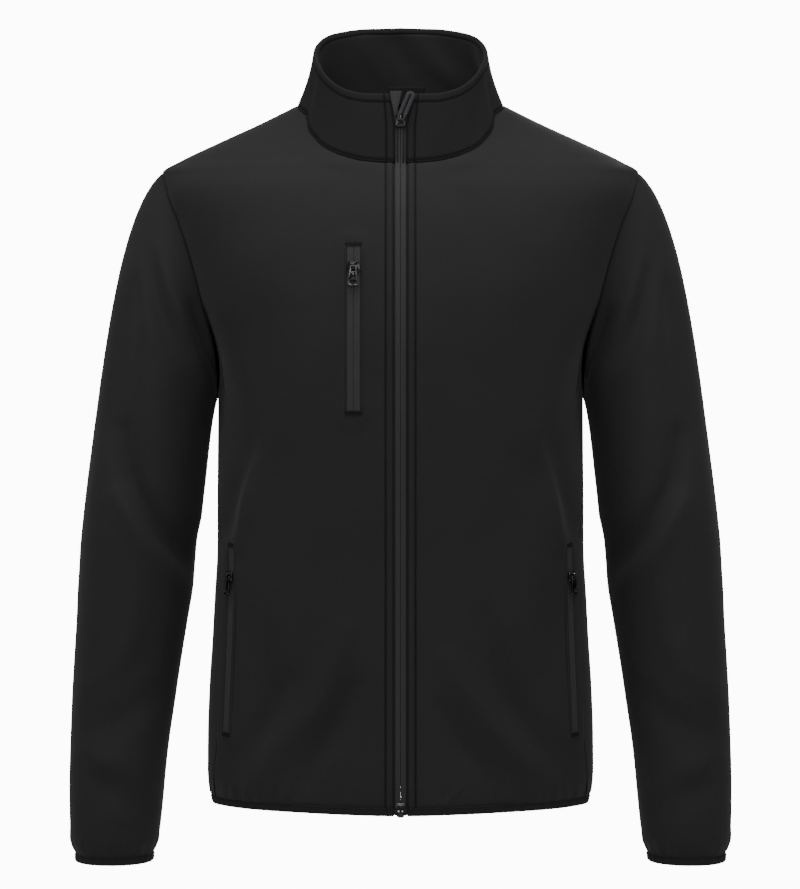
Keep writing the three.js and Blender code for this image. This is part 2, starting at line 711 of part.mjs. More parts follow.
// Stations round the collar, from the wearer's left front edge round the back to the right front edge
function collarStations() {
  const half = [];
  for (let i = 0; i <= NECK_STEPS; i++) half.push(frontNeck(insideU(i / NECK_STEPS)));
  for (let i = NECK_STEPS - 1; i >= 0; i--) half.push(backNeck(i / NECK_STEPS));
  const side = half.map((place) => {
    const foot = bodyPoint(place.turn, place.z);
    foot.addScaledVector(new THREE.Vector3(0, 0, 1), SEAM);
    const angle = Math.atan2(foot.x, -(foot.y - rim.middleY));
    return { foot, top: rimPoint(angle) };
  });
  const spreadTop = (station, spread, sign) => {
    const top = station.top.clone();
    top.x = sign * spread;
    return { foot: station.foot, top };
  };
  const other = side.slice(0, -1).map((s) => ({
    foot: new THREE.Vector3(-s.foot.x, s.foot.y, s.foot.z),
    top: new THREE.Vector3(-s.top.x, s.top.y, s.top.z),
  }));
  side[0] = spreadTop(side[0], RIM_SPREAD.left, 1);
  other[0] = spreadTop(other[0], RIM_SPREAD.right, -1);
  return [...side, ...other.reverse()];
}

// The front edge stays straight below the open stretch of the zip
function collarPoint(station, height) {
  const point = station.foot.clone().lerp(station.top, height);
  const open = tableValue(openStretch, "height", "share", height);
  const isEdge = Math.abs(station.foot.x) < FRONT_EDGE + 1;
  if (isEdge) point.x = mix(station.foot.x, station.top.x, open);
  const pinch = COLLAR_PINCH * Math.sin(Math.PI * height) * Math.abs(station.foot.x) / 98;
  const plan = new THREE.Vector3(point.x, point.y - rim.middleY, 0).normalize();
  return point.addScaledVector(plan, -pinch);
}
const openStretch = [
  { height: 0, share: 0 },
  { height: 0.5, share: 0.02 },
  { height: 0.75, share: 0.5 },
  { height: 1, share: 1 },
];

// A closed strip swept round the collar: its section is a list of heights up and depths in
function collarSweep(section) {
  const stations = collarStations();
  const middle = new THREE.Vector3(0, rim.middleY, 0);
  const rows = stations.map((station, i) => {
    const before = stations[Math.max(0, i - 1)];
    const after = stations[Math.min(stations.length - 1, i + 1)];
    const tall = station.foot.distanceTo(station.top);
    const along = collarPoint(after, 0.4).sub(collarPoint(before, 0.4));
    const rise = collarPoint(station, 1).sub(collarPoint(station, 0));
    const normal = along.cross(rise).normalize();
    const outwards = station.foot.clone().sub(middle).setZ(0).dot(normal) > 0 ? 1 : -1;
    return section.map(({ up, in: depth }) => {
      const point = collarPoint(station, up.fraction + up.mm / tall);
      return point.addScaledVector(normal, -outwards * depth);
    });
  });
  return sweepGeometry(rows);
}

// A solid from sections given as rings of points, closed by a flat face at both ends
function sweepGeometry(rings) {
  const count = rings[0].length;
  const positions = rings.flatMap((ring) => ring.flatMap((p) => p.toArray()));
  const index = [];
  for (let r = 0; r < rings.length - 1; r++) {
    for (let i = 0; i < count; i++) {
      const a = r * count + i;
      const b = r * count + ((i + 1) % count);
      index.push(a, b, a + count, b, b + count, a + count);
    }
  }
  const end = (rings.length - 1) * count;
  const faces = capTriangles(rings[0]);
  faces.forEach(([a, b, c]) => {
    index.push(a, c, b);
    index.push(end + a, end + b, end + c);
  });
  const geometry = new THREE.BufferGeometry();
  geometry.setAttribute("position", new THREE.Float32BufferAttribute(positions, 3));
  geometry.setIndex(index);
  return facingOut(geometry);
}

// Triangulates an end section in its own plane
function capTriangles(ring) {
  const normal = new THREE.Vector3();
  ring.forEach((p, i) => {
    const q = ring[(i + 1) % ring.length];
    normal.add(p.clone().cross(q));
  });
  normal.normalize();
  const across = ring[1].clone().sub(ring[0]).normalize();
  const up = normal.clone().cross(across);
  const flat = ring.map((p) => new THREE.Vector2(p.dot(across), p.dot(up)));
  return THREE.ShapeUtils.triangulateShape(flat, []);
}

function signedVolume(geometry) {
  const p = geometry.getAttribute("position");
  const index = geometry.getIndex();
  const corner = (k) => new THREE.Vector3().fromBufferAttribute(p, index.getX(k));
  let volume = 0;
  for (let i = 0; i < index.count; i += 3) {
    volume += corner(i).dot(corner(i + 1).cross(corner(i + 2)));
  }
  return volume;
}

function facingOut(geometry) {
  if (signedVolume(geometry) >= 0) return geometry;
  const index = geometry.getIndex();
  for (let i = 0; i < index.count; i += 3) {
    const second = index.getX(i + 1);
    index.setX(i + 1, index.getX(i + 2));
    index.setX(i + 2, second);
  }
  return geometry;
}

const COLLAR_LAYERS = 1; // between the collar's two layers
const up = (fraction, mm = 0) => ({ fraction, mm });
function makeCollar() {
  const outer = [
    { up: up(0), in: 0 },
    { up: up(0.33), in: 0 },
    { up: up(0.66), in: 0 },
    { up: up(1, -2.6), in: 0 },
    { up: up(1, -0.7), in: 0.8 },
    { up: up(1), in: 2 },
    { up: up(1, -0.7), in: 3.6 },
    { up: up(1, -2.6), in: 4.6 },
    { up: up(1, -3), in: CLOTH },
    { up: up(0.66), in: CLOTH },
    { up: up(0.33), in: CLOTH },
    { up: up(0), in: CLOTH },
  ];
  addPiece("collar_outer", collarSweep(outer), "shell");
  const innerFace = CLOTH + COLLAR_LAYERS;
  const inner = [
    { up: up(0, 1), in: innerFace },
    { up: up(0.33), in: innerFace },
    { up: up(0.66), in: innerFace },
    { up: up(1, -3.4), in: innerFace },
    { up: up(1, -3.4), in: innerFace + CLOTH },
    { up: up(0.66), in: innerFace + CLOTH },
    { up: up(0.33), in: innerFace + CLOTH },
    { up: up(0, 1), in: innerFace + CLOTH },
  ];
  addPiece("collar_inner", collarSweep(inner), "collarLining");
}

// The line down the front where the zip runs: points of the fronts' surface and of the collar's front edge
function zipCourse(side) {
  const sign = side === "left" ? 1 : -1;
  const spread = RIM_SPREAD[side];
  const course = [];
  const BODY_STEPS = 18;
  const bottom = hemHeight(0) - HEM_BAND + 13;
  for (let k = 0; k <= BODY_STEPS; k++) {
    const z = mix(bottom, neckline[0].z - 1, k / BODY_STEPS);
    course.push({ centre: bodyPoint(0, z), shift: 0, sign });
  }
  const edge = { foot: bodyPoint(turnAtX(FRONT_EDGE, neckline[0].z), neckHeight(0)), top: rimPoint(0) };
  edge.foot.x = 0;
  edge.top.x = 0;
  [0.12, 0.3, 0.5, 0.62, 0.75, 0.87, 0.97].forEach((height) => {
    const share = tableValue(openStretch, "height", "share", height);
    course.push({
      centre: edge.foot.clone().lerp(edge.top, height),
      shift: (spread - FRONT_EDGE) * share,
      sign,
    });
  });
  return course;
}

const TAPE_THICKNESS = 1.2;
const TAPE_RECESS = 0.5;
function makeZipTape(side) {
  const course = zipCourse(side);
  const rings = course.map((place, i) => {
    const before = course[Math.max(0, i - 1)].centre;
    const after = course[Math.min(course.length - 1, i + 1)].centre;
    const rise = after.clone().sub(before).normalize();
    const out = new THREE.Vector3(1, 0, 0).cross(rise).negate();
    if (out.y > 0) out.negate();
    const at = (x, depth) =>
      new THREE.Vector3(place.sign * (x + place.shift), place.centre.y, place.centre.z).addScaledVector(out, -depth);
    const inner = 0.2;
    const outer = FRONT_EDGE - SEAM - 0.1;
    return [
      at(inner, TAPE_RECESS),
      at(outer, TAPE_RECESS),
      at(outer, TAPE_RECESS + TAPE_THICKNESS),
      at(inner, TAPE_RECESS + TAPE_THICKNESS),
    ];
  });
  addPiece("zip_tape_" + side, sweepGeometry(rings), "tape");
}

// Flat plates with a rounded outline, in a frame whose x runs across, y up and z out of the cloth
function plate(outline, thickness, holes = []) {
  const shape = new THREE.Shape(outline);
  holes.forEach((hole) => shape.holes.push(new THREE.Path(hole)));
  return new THREE.ExtrudeGeometry(shape, { depth: thickness, bevelEnabled: false, steps: 1 });
}

function roundedOutline(halfWidthTop, halfWidthBottom, top, bottom, radius, steps = 3) {
  const corners = [
    { x: halfWidthTop, y: top, turn: 0 },
    { x: -halfWidthTop, y: top, turn: 90 },
    { x: -halfWidthBottom, y: bottom, turn: 180 },
    { x: halfWidthBottom, y: bottom, turn: 270 },
  ];
  return corners.flatMap((corner) => {
    const inX = corner.x - Math.sign(corner.x) * radius;
    const inY = corner.turn < 180 ? corner.y - radius : corner.y + radius;
    return Array.from({ length: steps + 1 }, (_, i) => {
      const angle = radians(corner.turn + (90 * i) / steps);
      return new THREE.Vector2(inX + radius * Math.cos(angle), inY + radius * Math.sin(angle));
    });
  });
}

function solidFrom(geometry) {
  const plain = geometry.index ? geometry.toNonIndexed() : geometry;
  const source = plain.getAttribute("position");
  const seen = new Map();
  const vertices = [];
  const triangles = [];
  for (let i = 0; i < source.count; i++) {
    const p = [source.getX(i), source.getY(i), source.getZ(i)];
    const key = p.map((v) => Math.round(v * 1e4)).join(" ");
    if (!seen.has(key)) {
      seen.set(key, vertices.length / 3);
      vertices.push(...p);
    }
    triangles.push(seen.get(key));
  }
  return new wasm.Manifold(
    new wasm.Mesh({
      numProp: 3,
      vertProperties: new Float32Array(vertices),
      triVerts: new Uint32Array(triangles),
    }),
  );
}

function geometryFrom(solid) {
  const mesh = solid.getMesh();
  const geometry = new THREE.BufferGeometry();
  geometry.setAttribute("position", new THREE.BufferAttribute(new Float32Array(mesh.vertProperties), 3));
  geometry.setIndex(new THREE.BufferAttribute(new Uint32Array(mesh.triVerts), 1));
  return geometry;
}

// Zip sliders: a shield-shaped body with an arch that carries the pull's cross bar
const sliderBodies = {
  main: { length: 14, halfTop: 3.5, halfBottom: 5.2 },
  pocket: { length: 10, halfTop: 5.4, halfBottom: 6.4 },
};
const slider = {
  body: 2.4,
  archHalf: 1,
  archLength: 7.4,
  archRise: 2.5,
  archBar: 0.9,
};
const HINGE_RISE = slider.body + slider.archRise / 2;

function sliderSolid(type) {
  const { length, halfTop, halfBottom } = sliderBodies[type];
  const body = plate(roundedOutline(halfTop, halfBottom, length / 2, -length / 2, 1.8), slider.body);
  const reach = slider.archLength / 2;
  const crown = slider.archRise + slider.archBar;
  const outerArch = [
    new THREE.Vector2(-reach, -0.2),
    new THREE.Vector2(reach, -0.2),
    new THREE.Vector2(reach, slider.archRise * 0.6),
    new THREE.Vector2(reach - 1.2, crown),
    new THREE.Vector2(-reach + 1.2, crown),
    new THREE.Vector2(-reach, slider.archRise * 0.6),
  ];
  const opening = reach - slider.archBar;
  const innerArch = [
    new THREE.Vector2(-opening, 0),
    new THREE.Vector2(-opening, slider.archRise * 0.55),
    new THREE.Vector2(-opening + 0.8, slider.archRise),
    new THREE.Vector2(opening - 0.8, slider.archRise),
    new THREE.Vector2(opening, slider.archRise * 0.55),
    new THREE.Vector2(opening, 0),
  ];
  const arch = plate(outerArch, 2 * slider.archHalf, [innerArch]);
  // The arch is drawn lying down, with its length on x; it is turned to run up the zip
  arch.rotateX(Math.PI / 2);
  arch.rotateZ(Math.PI / 2);
  arch.translate(-slider.archHalf, 0, slider.body);
  return geometryFrom(solidFrom(body).add(solidFrom(arch)));
}

// Pull tabs: a cross bar under the arch, a window that clears the arch, then the tab
const pullTypes = {
  pocket: { halfTop: 3.6, halfBottom: 5.2, length: 19, thickness: 1.3, window: 1.7, ring: true },
  main: { halfTop: 4.2, halfBottom: 4.8, length: 29, thickness: 2, window: 3, ring: false },
};
function pullSolid(type) {
  const pull = pullTypes[type];
  const top = 0.75;
  const outline = roundedOutline(pull.halfTop, pull.halfBottom, top, -pull.length, 0.7, 2);
  const window = [
    new THREE.Vector2(-pull.window, -0.65),
    new THREE.Vector2(pull.window, -0.65),
    new THREE.Vector2(pull.window, -5),
    new THREE.Vector2(-pull.window, -5),
  ];
  const holes = [window.reverse()];
  if (pull.ring) {
    const eye = Array.from({ length: 10 }, (_, i) => {
      const angle = (-i / 10) * 2 * Math.PI;
      return new THREE.Vector2(3.6 * Math.cos(angle), -pull.length + 3.9 + 2.3 * Math.sin(angle));
    });
    holes.push(eye);
  }
  // The cross bar is as thick as the small tabs on every pull
  const barThickness = 1.3;
  const geometry = plate(outline, barThickness, holes);
  geometry.translate(0, 0, -barThickness / 2);
  if (pull.thickness === barThickness) return geometry;
  const thick = plate(
    roundedOutline(pull.halfBottom - 0.4, pull.halfBottom, -6.4, -pull.length, 1, 2),
    pull.thickness,
  );
  thick.translate(0, 0, barThickness / 2 - pull.thickness);
  return geometryFrom(solidFrom(geometry).add(solidFrom(thick)));
}

// Puts a small piece on the cloth: origin, the way up the zip and the way out of the cloth
function placed(geometry, seat) {
  const out = seat.out.clone().normalize();
  const across = seat.rise.clone().cross(out).normalize();
  const upWay = out.clone().cross(across);
  const matrix = new THREE.Matrix4().makeBasis(across, upWay, out).setPosition(seat.point);
  return geometry.applyMatrix4(matrix);
}

// Pocket zips: strips laid on the fronts, each between two heights along a line on the body
const STRIP_LIFT = 0.3;
const STRIP_THICKNESS = 1.1;
const pockets = {
  chest: { side: -1, top: { x: 43.1, z: -148 }, bottom: { x: 43.1, z: -301 }, half: 6.2, steps: 10 },
  hand_right: { side: -1, top: { x: 157.5, z: -427 }, bottom: { x: 163.6, z: -603 }, half: 4.2, steps: 10 },
  hand_left: { side: 1, top: { x: 157.5, z: -427 }, bottom: { x: 163.6, z: -603 }, half: 4.2, steps: 10 },
};

function pocketSeat(pocket, t, lift) {
  const x = pocket.side * mix(pocket.top.x, pocket.bottom.x, t);
  const z = mix(pocket.top.z, pocket.bottom.z, t);
  const vertex = bodyVertex(turnAtX(x, z), z);
  const point = vertex.base.clone().addScaledVector(vertex.normal, vertex.lift + lift);
  return { point, out: vertex.normal };
}

function pocketFrame(pocket, t, lift) {
  const seat = pocketSeat(pocket, t, lift);
  const rise = pocketSeat(pocket, t - 0.02, lift).point.sub(pocketSeat(pocket, t + 0.02, lift).point);
  return { ...seat, rise: rise.normalize() };
}

function makePocketStrip(name, pocket) {
  const rings = Array.from({ length: pocket.steps + 1 }, (_, i) => {
    const seat = pocketFrame(pocket, i / pocket.steps, STRIP_LIFT + FACET_ROOM);
    const across = seat.rise.clone().cross(seat.out).normalize();
    const at = (x, depth) =>
      seat.point.clone().addScaledVector(across, x).addScaledVector(seat.out, depth);
    return [
      at(-pocket.half, 0),
      at(pocket.half, 0),
      at(pocket.half, STRIP_THICKNESS),
      at(-pocket.half, STRIP_THICKNESS),
    ];
  });
  addPiece(name, sweepGeometry(rings), "tape");
}
const FACET_ROOM = 0.5; // the faceted panel lies this far inside its smooth form at most

function makePocketSlider(name, pocket, t, scale) {
  const seat = pocketFrame(pocket, t, STRIP_LIFT + FACET_ROOM + STRIP_THICKNESS + SEAM);
  const body = sliderSolid("pocket");
  body.scale(scale, scale, scale);
  addPiece(name + "_slider", placed(body, seat), "slider");
  const tab = pullSolid("pocket");
  tab.scale(scale, scale, scale);
  const hinge = {
    ...seat,
    point: seat.point.clone().addScaledVector(seat.out.clone().normalize(), HINGE_RISE * scale),
  };
  addPiece(name + "_pull", placed(tab, hinge), "slider");
  jacket.userData.hinges[name + "_pull"] = { point: hinge.point, axis: seat.rise.clone().cross(seat.out) };
}

// The main slider stands below the open top of the zip, its tab turned up over the collar's edge
const MAIN_SLIDER_HEIGHT = 0.62; // share of the collar's height at the front
const MAIN_PULL_LEAN = 22;
function makeMainZipTop() {
  const foot = bodyPoint(0, neckline[0].z);
  const top = rimPoint(0);
  const point = foot.clone().lerp(top, MAIN_SLIDER_HEIGHT);
  const rise = top.clone().sub(foot).normalize();
  const out = new THREE.Vector3(0, -rise.z, rise.y).normalize();
  const seat = { point: point.clone().addScaledVector(out, -TAPE_RECESS + SEAM), rise, out };
  addPiece("main_slider", placed(sliderSolid("main"), seat), "slider");
  const hingePoint = seat.point.clone().addScaledVector(out, HINGE_RISE);
  const tab = pullSolid("main");
  tab.rotateX(Math.PI);
  tab.rotateZ(radians(-MAIN_PULL_LEAN));
  addPiece("main_pull", placed(tab, { point: hingePoint, rise, out }), "pull");
  const bar = new THREE.Vector3(1, 0, 0).applyAxisAngle(out, radians(-MAIN_PULL_LEAN));
  jacket.userData.hinges.main_pull = { point: hingePoint, axis: bar };
  const guardOutline = [
    new THREE.Vector2(-10.2, 28),
    new THREE.Vector2(-9.2, 20),
    new THREE.Vector2(-5.6, 5),
    new THREE.Vector2(-4.6, 3),
    new THREE.Vector2(-3.9, 5),
    new THREE.Vector2(0.6, 24),
    new THREE.Vector2(1.4, 28),
  ];
  const guard = plate(guardOutline, 0.9);
  addPiece("zip_guard", placed(guard, seat), "tape");
}

// The box that closes the zip at the hem
const ZIP_BOX_RISE = 8.3; // its middle above the hem's edge
function makeZipBox() {
  const z = hemHeight(0) - HEM_BAND + ZIP_BOX_RISE;
  const seat = { point: bodyPoint(0, z), rise: new THREE.Vector3(0, 0, 1), out: bodyNormal(0, z) };
  const box = plate(roundedOutline(4.2, 4.6, 4.4, -4.4, 1), 2.6);
  box.translate(0, 0, -1.6);
  addPiece("zip_box", placed(box, seat), "moulded");
}

// The plain label inside the neck
const neckLabel = { middleX: 6, halfWidth: 17.5, halfHeight: 9, y: 50, middleZ: 13.5, thickness: 0.8 };
function makeNeckLabel() {
  const { halfWidth, halfHeight, thickness } = neckLabel;
  const label = plate(roundedOutline(halfWidth, halfWidth, halfHeight, -halfHeight, 0.6, 1), thickness);
  const seat = {
    point: new THREE.Vector3(neckLabel.middleX, neckLabel.y, neckLabel.middleZ),
    rise: new THREE.Vector3(0, 0, 1),
    out: new THREE.Vector3(0, -1, 0),
  };
  addPiece("neck_label", placed(label, seat), "label");
}

makeFronts();
makeBack();
makeHemBand();
makeSleeves();
makeCuffBands();
makeCollar();
makeZipTape("right");
makeZipTape("left");
makeMainZipTop();
makeZipBox();
makePocketStrip("chest_zip", pockets.chest);
makePocketStrip("hand_zip_right", pockets.hand_right);
makePocketStrip("hand_zip_left", pockets.hand_left);
makePocketSlider("chest", pockets.chest, 0.13, 1);
makePocketSlider("hand_right", pockets.hand_right, 0.16, 0.9);
makePocketSlider("hand_left", pockets.hand_left, 0.16, 0.9);
makeNeckLabel();

export default jacket;
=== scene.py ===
"""The looks of a softshell jacket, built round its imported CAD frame."""
import math

import bmesh
import bpy
import numpy as np
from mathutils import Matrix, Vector


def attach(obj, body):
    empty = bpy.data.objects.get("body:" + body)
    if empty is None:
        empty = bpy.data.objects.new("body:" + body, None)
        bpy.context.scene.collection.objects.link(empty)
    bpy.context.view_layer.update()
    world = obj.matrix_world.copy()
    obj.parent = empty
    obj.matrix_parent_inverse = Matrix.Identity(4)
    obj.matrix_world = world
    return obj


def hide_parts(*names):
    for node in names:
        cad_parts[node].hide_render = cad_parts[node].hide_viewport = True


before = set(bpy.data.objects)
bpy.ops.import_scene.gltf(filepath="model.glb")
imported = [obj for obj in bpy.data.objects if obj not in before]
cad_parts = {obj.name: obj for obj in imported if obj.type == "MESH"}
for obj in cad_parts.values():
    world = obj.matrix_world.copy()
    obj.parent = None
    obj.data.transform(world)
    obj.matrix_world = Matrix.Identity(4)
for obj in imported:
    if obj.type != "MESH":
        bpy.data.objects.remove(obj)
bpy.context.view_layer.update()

# Camera: level, in front of the jacket, as the photograph was taken
SENSOR = 36
CAMERA_AWAY = 2.6
PHOTO_ROWS = 889
METRES_A_PIXEL = 0.00097
camera_data = bpy.data.cameras.new("camera")
camera_data.sensor_width = SENSOR
camera_data.lens = SENSOR * CAMERA_AWAY / (PHOTO_ROWS * METRES_A_PIXEL)
camera = bpy.data.objects.new("camera", camera_data)
camera.location = (-0.0005, -CAMERA_AWAY, -0.331)
camera.rotation_euler = (math.radians(90), 0, 0)
bpy.context.scene.collection.objects.link(camera)
bpy.context.scene.camera = camera


# Tables and small helpers; lengths are in millimetres until a mesh is made
def columns(names, rows):
    return dict(zip(names.split(), np.array(rows, float).T))


def value_at(rows, key, value, at):
    """A smooth value between the rows of a table, with no overshoot."""
    x, y = rows[key], rows[value]
    if x[0] > x[-1]:
        x, y = x[::-1], y[::-1]
    at = np.clip(at, x[0], x[-1])
    step = np.diff(x)
    slope = np.diff(y) / step
    before, after = slope[:-1], slope[1:]
    same = before * after > 0
    tangent = np.concatenate([[slope[0]], np.zeros(len(slope) - 1), [slope[-1]]])
    tangent[1:-1][same] = (2 * before * after)[same] / (before + after)[same]
    i = np.clip(np.searchsorted(x, at) - 1, 0, len(step) - 1)
    t = (at - x[i]) / step[i]
    start, leave, end, arrive = hermite(t)
    return start * y[i] + end * y[i + 1] + step[i] * (leave * tangent[i] + arrive * tangent[i + 1])


def hermite(t):
    start = 2 * t**3 - 3 * t**2 + 1
    return start, t**3 - 2 * t**2 + t, 1 - start, t**3 - t**2


def mix(a, b, t):
    return a + (b - a) * t


def bell(distance, middle, reach):
    return np.exp(-(((distance - middle) / reach) ** 2))


def ramp(value, low, high):
    t = np.clip((value - low) / (high - low), 0, 1)
    return t * t * (3 - 2 * t)


def unit(v):
    return v / np.maximum(np.linalg.norm(v, axis=-1, keepdims=True), 1e-9)


def crowded(count, pull):
    """Steps from 0 to 1 that stand closer together at both ends."""
    t = np.linspace(0, 1, count)
    return t - pull * np.sin(2 * np.pi * t) / (2 * np.pi)


def mirrored(points):
    return points * np.array([-1.0, 1.0, 1.0])


# The plain form of the jacket
CLOTH = 1.5
SEAM = 0.3
FRONT_EDGE = 6.2
HEM_BAND = 8.4
CUFF_BAND = 8.6
SHOULDER_SEAM_TURN = 84
SHOULDER_TIP_Z = -67
UNDERARM_Z = -285
SIDE_SHARE = 11 / 21
CAP_END_Z = -400
CUFF_SEAM_Z = -719.4
RIM_SPREAD = {1: 13.0, -1: 10.8}
HEM_TUCK = 1.9
ARMHOLE_TUCK = 1.3
BODY_CREASE_DEPTH = 1.7
SLEEVE_CREASE_DEPTH = 1.8
NECK_FRONT_Z = -68.0

# Distances of the topstitching from the seams and edges
ZIP_STITCH = 7.5
ARMHOLE_STITCH = 6.4
SHOULDER_STITCH = 5
COLLAR_FOOT_STITCH = 2.6
COLLAR_RIM_STITCH = 8.5

BODY = columns("z half front back side power", [
    (30, 36, -20, 46, 12, 2.1),
    (18, 61.5, -26, 57, 9, 2.1),
    (0, 95.8, -33, 72, 6, 2.2),
    (-20, 135.8, -43, 84, 5, 2.2),
    (-40, 179.3, -57, 94, 5, 2.2),
    (-57, 214.5, -74, 101, 5, 2.2),
    (-68, 231, -88, 105, 5, 2.25),
    (-90, 229, -105, 112, 5, 2.35),
    (-120, 219, -119, 121, 5, 2.4),
    (-160, 206, -130, 130, 5, 2.45),
    (-200, 194, -136, 135, 5, 2.5),
    (-245, 181, -139, 136, 5, 2.5),
    (-285, 177, -139, 133, 5, 2.5),
    (-350, 177, -137, 125, 3, 2.5),
    (-425, 177, -133, 119, 1, 2.45),
    (-482, 179.9, -130, 119, 0, 2.4),
    (-521, 182, -128, 121, 0, 2.4),
    (-560, 184.6, -127, 124, 0, 2.35),
    (-610, 186.4, -126, 127, 0, 2.35),
    (-645, 186.6, -125.5, 128, 0, 2.35),
    (-660, 184.6, -124.5, 127, 0, 2.35),
    (-680, 180.5, -123, 124, 0, 2.35),
])
NECKLINE = columns("turn z", [
    (0, -68), (6.2, -65), (11.8, -59.6), (18.7, -50), (26.7, -37), (45.9, -14),
    (90, 0.5), (113, 7), (130, 12.6), (154.7, 16.8), (180, 18),
])
HEMLINE = columns("turn z", [(0, -675), (35, -673), (60, -673.5), (90, -676), (120, -676.5), (180, -678)])
SIDE_SEAM = columns("z turn", [
    (-285, 90), (-330, 84), (-400, 76), (-515, 67.5), (-600, 67), (-640, 70), (-670, 73),
])
SLEEVE = columns("z x half y depth", [
    (-400, -249.4, 57, -3, 71),
    (-424, -253, 55.8, -5, 69),
    (-462, -255.4, 55.6, -8, 66),
    (-500, -258.8, 53.4, -13, 62),
    (-539, -262.6, 51.3, -19, 58.5),
    (-577, -265.9, 49.4, -25, 55),
    (-615, -268.9, 47.2, -30, 51.5),
    (-653, -271, 45.6, -34, 48.5),
    (-691, -272.4, 43.4, -37, 45.5),
    (-706, -272.9, 41.8, -38, 43.5),
    (-719, -273.1, 37.4, -38.5, 39),
    (-740, -273.4, 36.2, -39, 38),
])
CAP_START = {
    "top": np.array([-0.776, 0, -0.632]),
    "front": np.array([-0.62, -0.35, -0.7]),
    "under": np.array([-0.36, 0, -0.93]),
    "back": np.array([-0.62, 0.35, -0.7]),
}
CAP_END = np.array([-0.12, 0, -0.98])


def signed_power(value, power):
    return np.sign(value) * np.abs(value) ** power


def body_point(turn, z):
    """A point of the plain body by its turn from the centre front, in degrees, and its height."""
    turn, z = np.broadcast_arrays(np.asarray(turn, float), np.asarray(z, float))
    sizes = ("half", "front", "back", "side", "power")
    half, front, back, side, power = (value_at(BODY, "z", size, z) for size in sizes)
    across = signed_power(np.sin(np.radians(turn)), 2 / power)
    along = signed_power(np.cos(np.radians(turn)), 2 / power)
    depth = np.where(along > 0, side - front, back - side)
    return np.stack([half * across, side - depth * along, z], -1)


def body_normal(turn, z):
    around = body_point(turn + 0.5, z) - body_point(turn - 0.5, z)
    rise = body_point(turn, z + 1) - body_point(turn, z - 1)
    return unit(np.cross(around, rise))


def turn_at_x(x, z):
    half, power = value_at(BODY, "z", "half", z), value_at(BODY, "z", "power", z)
    ratio = np.minimum(np.abs(x) / half, 1)
    return np.sign(x) * np.degrees(np.arcsin(ratio ** (power / 2)))


def neck_height(turn):
    return value_at(NECKLINE, "turn", "z", turn)


def hem_height(turn):
    return value_at(HEMLINE, "turn", "z", np.abs(turn)) + HEM_BAND


def even_edge(places):
    """An edge of a panel, walked at an even pace."""
    turn, z = places(np.linspace(0, 1, 401))
    steps = np.linalg.norm(np.diff(body_point(turn, z), axis=0), axis=1)
    run = np.concatenate([[0], np.cumsum(steps)]) / steps.sum()
    return lambda part: (np.interp(part, run, turn), np.interp(part, run, z))


def armhole_place(part, face):
    angle = part * np.pi
    z = (SHOULDER_TIP_Z + UNDERARM_Z) / 2 + (SHOULDER_TIP_Z - UNDERARM_Z) / 2 * np.cos(angle)
    front, back, side, power = (value_at(BODY, "z", c, z) for c in ("front", "back", "side", "power"))
    depth = side - front if face == "front" else back - side
    middle = side - 5 if face == "front" else 5 - side
    along = np.maximum(0, (51 * np.sin(angle) + middle) / depth) ** (power / 2)
    away = np.degrees(np.arccos(np.minimum(1, along)))
    return (away, z) if face == "front" else (180 - away, z)


def neck_places(start):
    def places(part):
        turn = mix(start, SHOULDER_SEAM_TURN, part)
        return turn, neck_height(turn)
    return places


def side_places(part):
    z = mix(hem_height(SIDE_SEAM["turn"][-1]), UNDERARM_Z, part)
    return value_at(SIDE_SEAM, "z", "turn", z), z


NECK_FRONT_TURN = float(turn_at_x(FRONT_EDGE, NECK_FRONT_Z))
NECK_EDGE = {"front": even_edge(neck_places(NECK_FRONT_TURN)), "back": even_edge(neck_places(180))}
SHOULDER_EDGE = even_edge(lambda part: (
    mix(SHOULDER_SEAM_TURN, 90, part), mix(neck_height(SHOULDER_SEAM_TURN), SHOULDER_TIP_Z, part)))
SIDE_EDGE = even_edge(side_places)
ARMHOLE = {face: even_edge(lambda part, face=face: armhole_place(part, face)) for face in ("front", "back")}


def panel_top(u, face):
    neck, shoulder = NECK_EDGE[face](u * 2), SHOULDER_EDGE(u * 2 - 1)
    return tuple(np.where(u <= 0.5, a, b) for a, b in zip(neck, shoulder))


def panel_side(v, face):
    side, arm = SIDE_EDGE(v / SIDE_SHARE), ARMHOLE[face](1 - (v - SIDE_SHARE) / (1 - SIDE_SHARE))
    return tuple(np.where(v <= SIDE_SHARE, a, b) for a, b in zip(side, arm))


def panel_middle(v, face):
    if face == "back":
        return np.full_like(v, 180.0), mix(hem_height(180), neck_height(180), v)
    z = mix(hem_height(0), NECK_FRONT_Z, v)
    return turn_at_x(np.full_like(v, FRONT_EDGE), z), z


def panel_hem(u, face):
    turn = mix(panel_middle(np.array(0.0), face)[0], SIDE_SEAM["turn"][-1], u)
    return turn, hem_height(turn)


def panel_places(u, v, face):
    """Places inside half a panel, blended from its four edges: turn and height."""
    hem, top = panel_hem(u, face), panel_top(u, face)
    inner, outer = panel_middle(v, face), panel_side(v, face)
    ends = np.array([0.0, 1.0])
    low, high = panel_hem(ends, face), panel_top(ends, face)
    found = []
    for k in range(2):
        blend = (1 - v) * hem[k] + v * top[k] + (1 - u) * inner[k] + u * outer[k]
        blend = blend - (1 - v) * ((1 - u) * low[k][0] + u * low[k][1])
        found.append(blend - v * ((1 - u) * high[k][0] + u * high[k][1]))
    return found


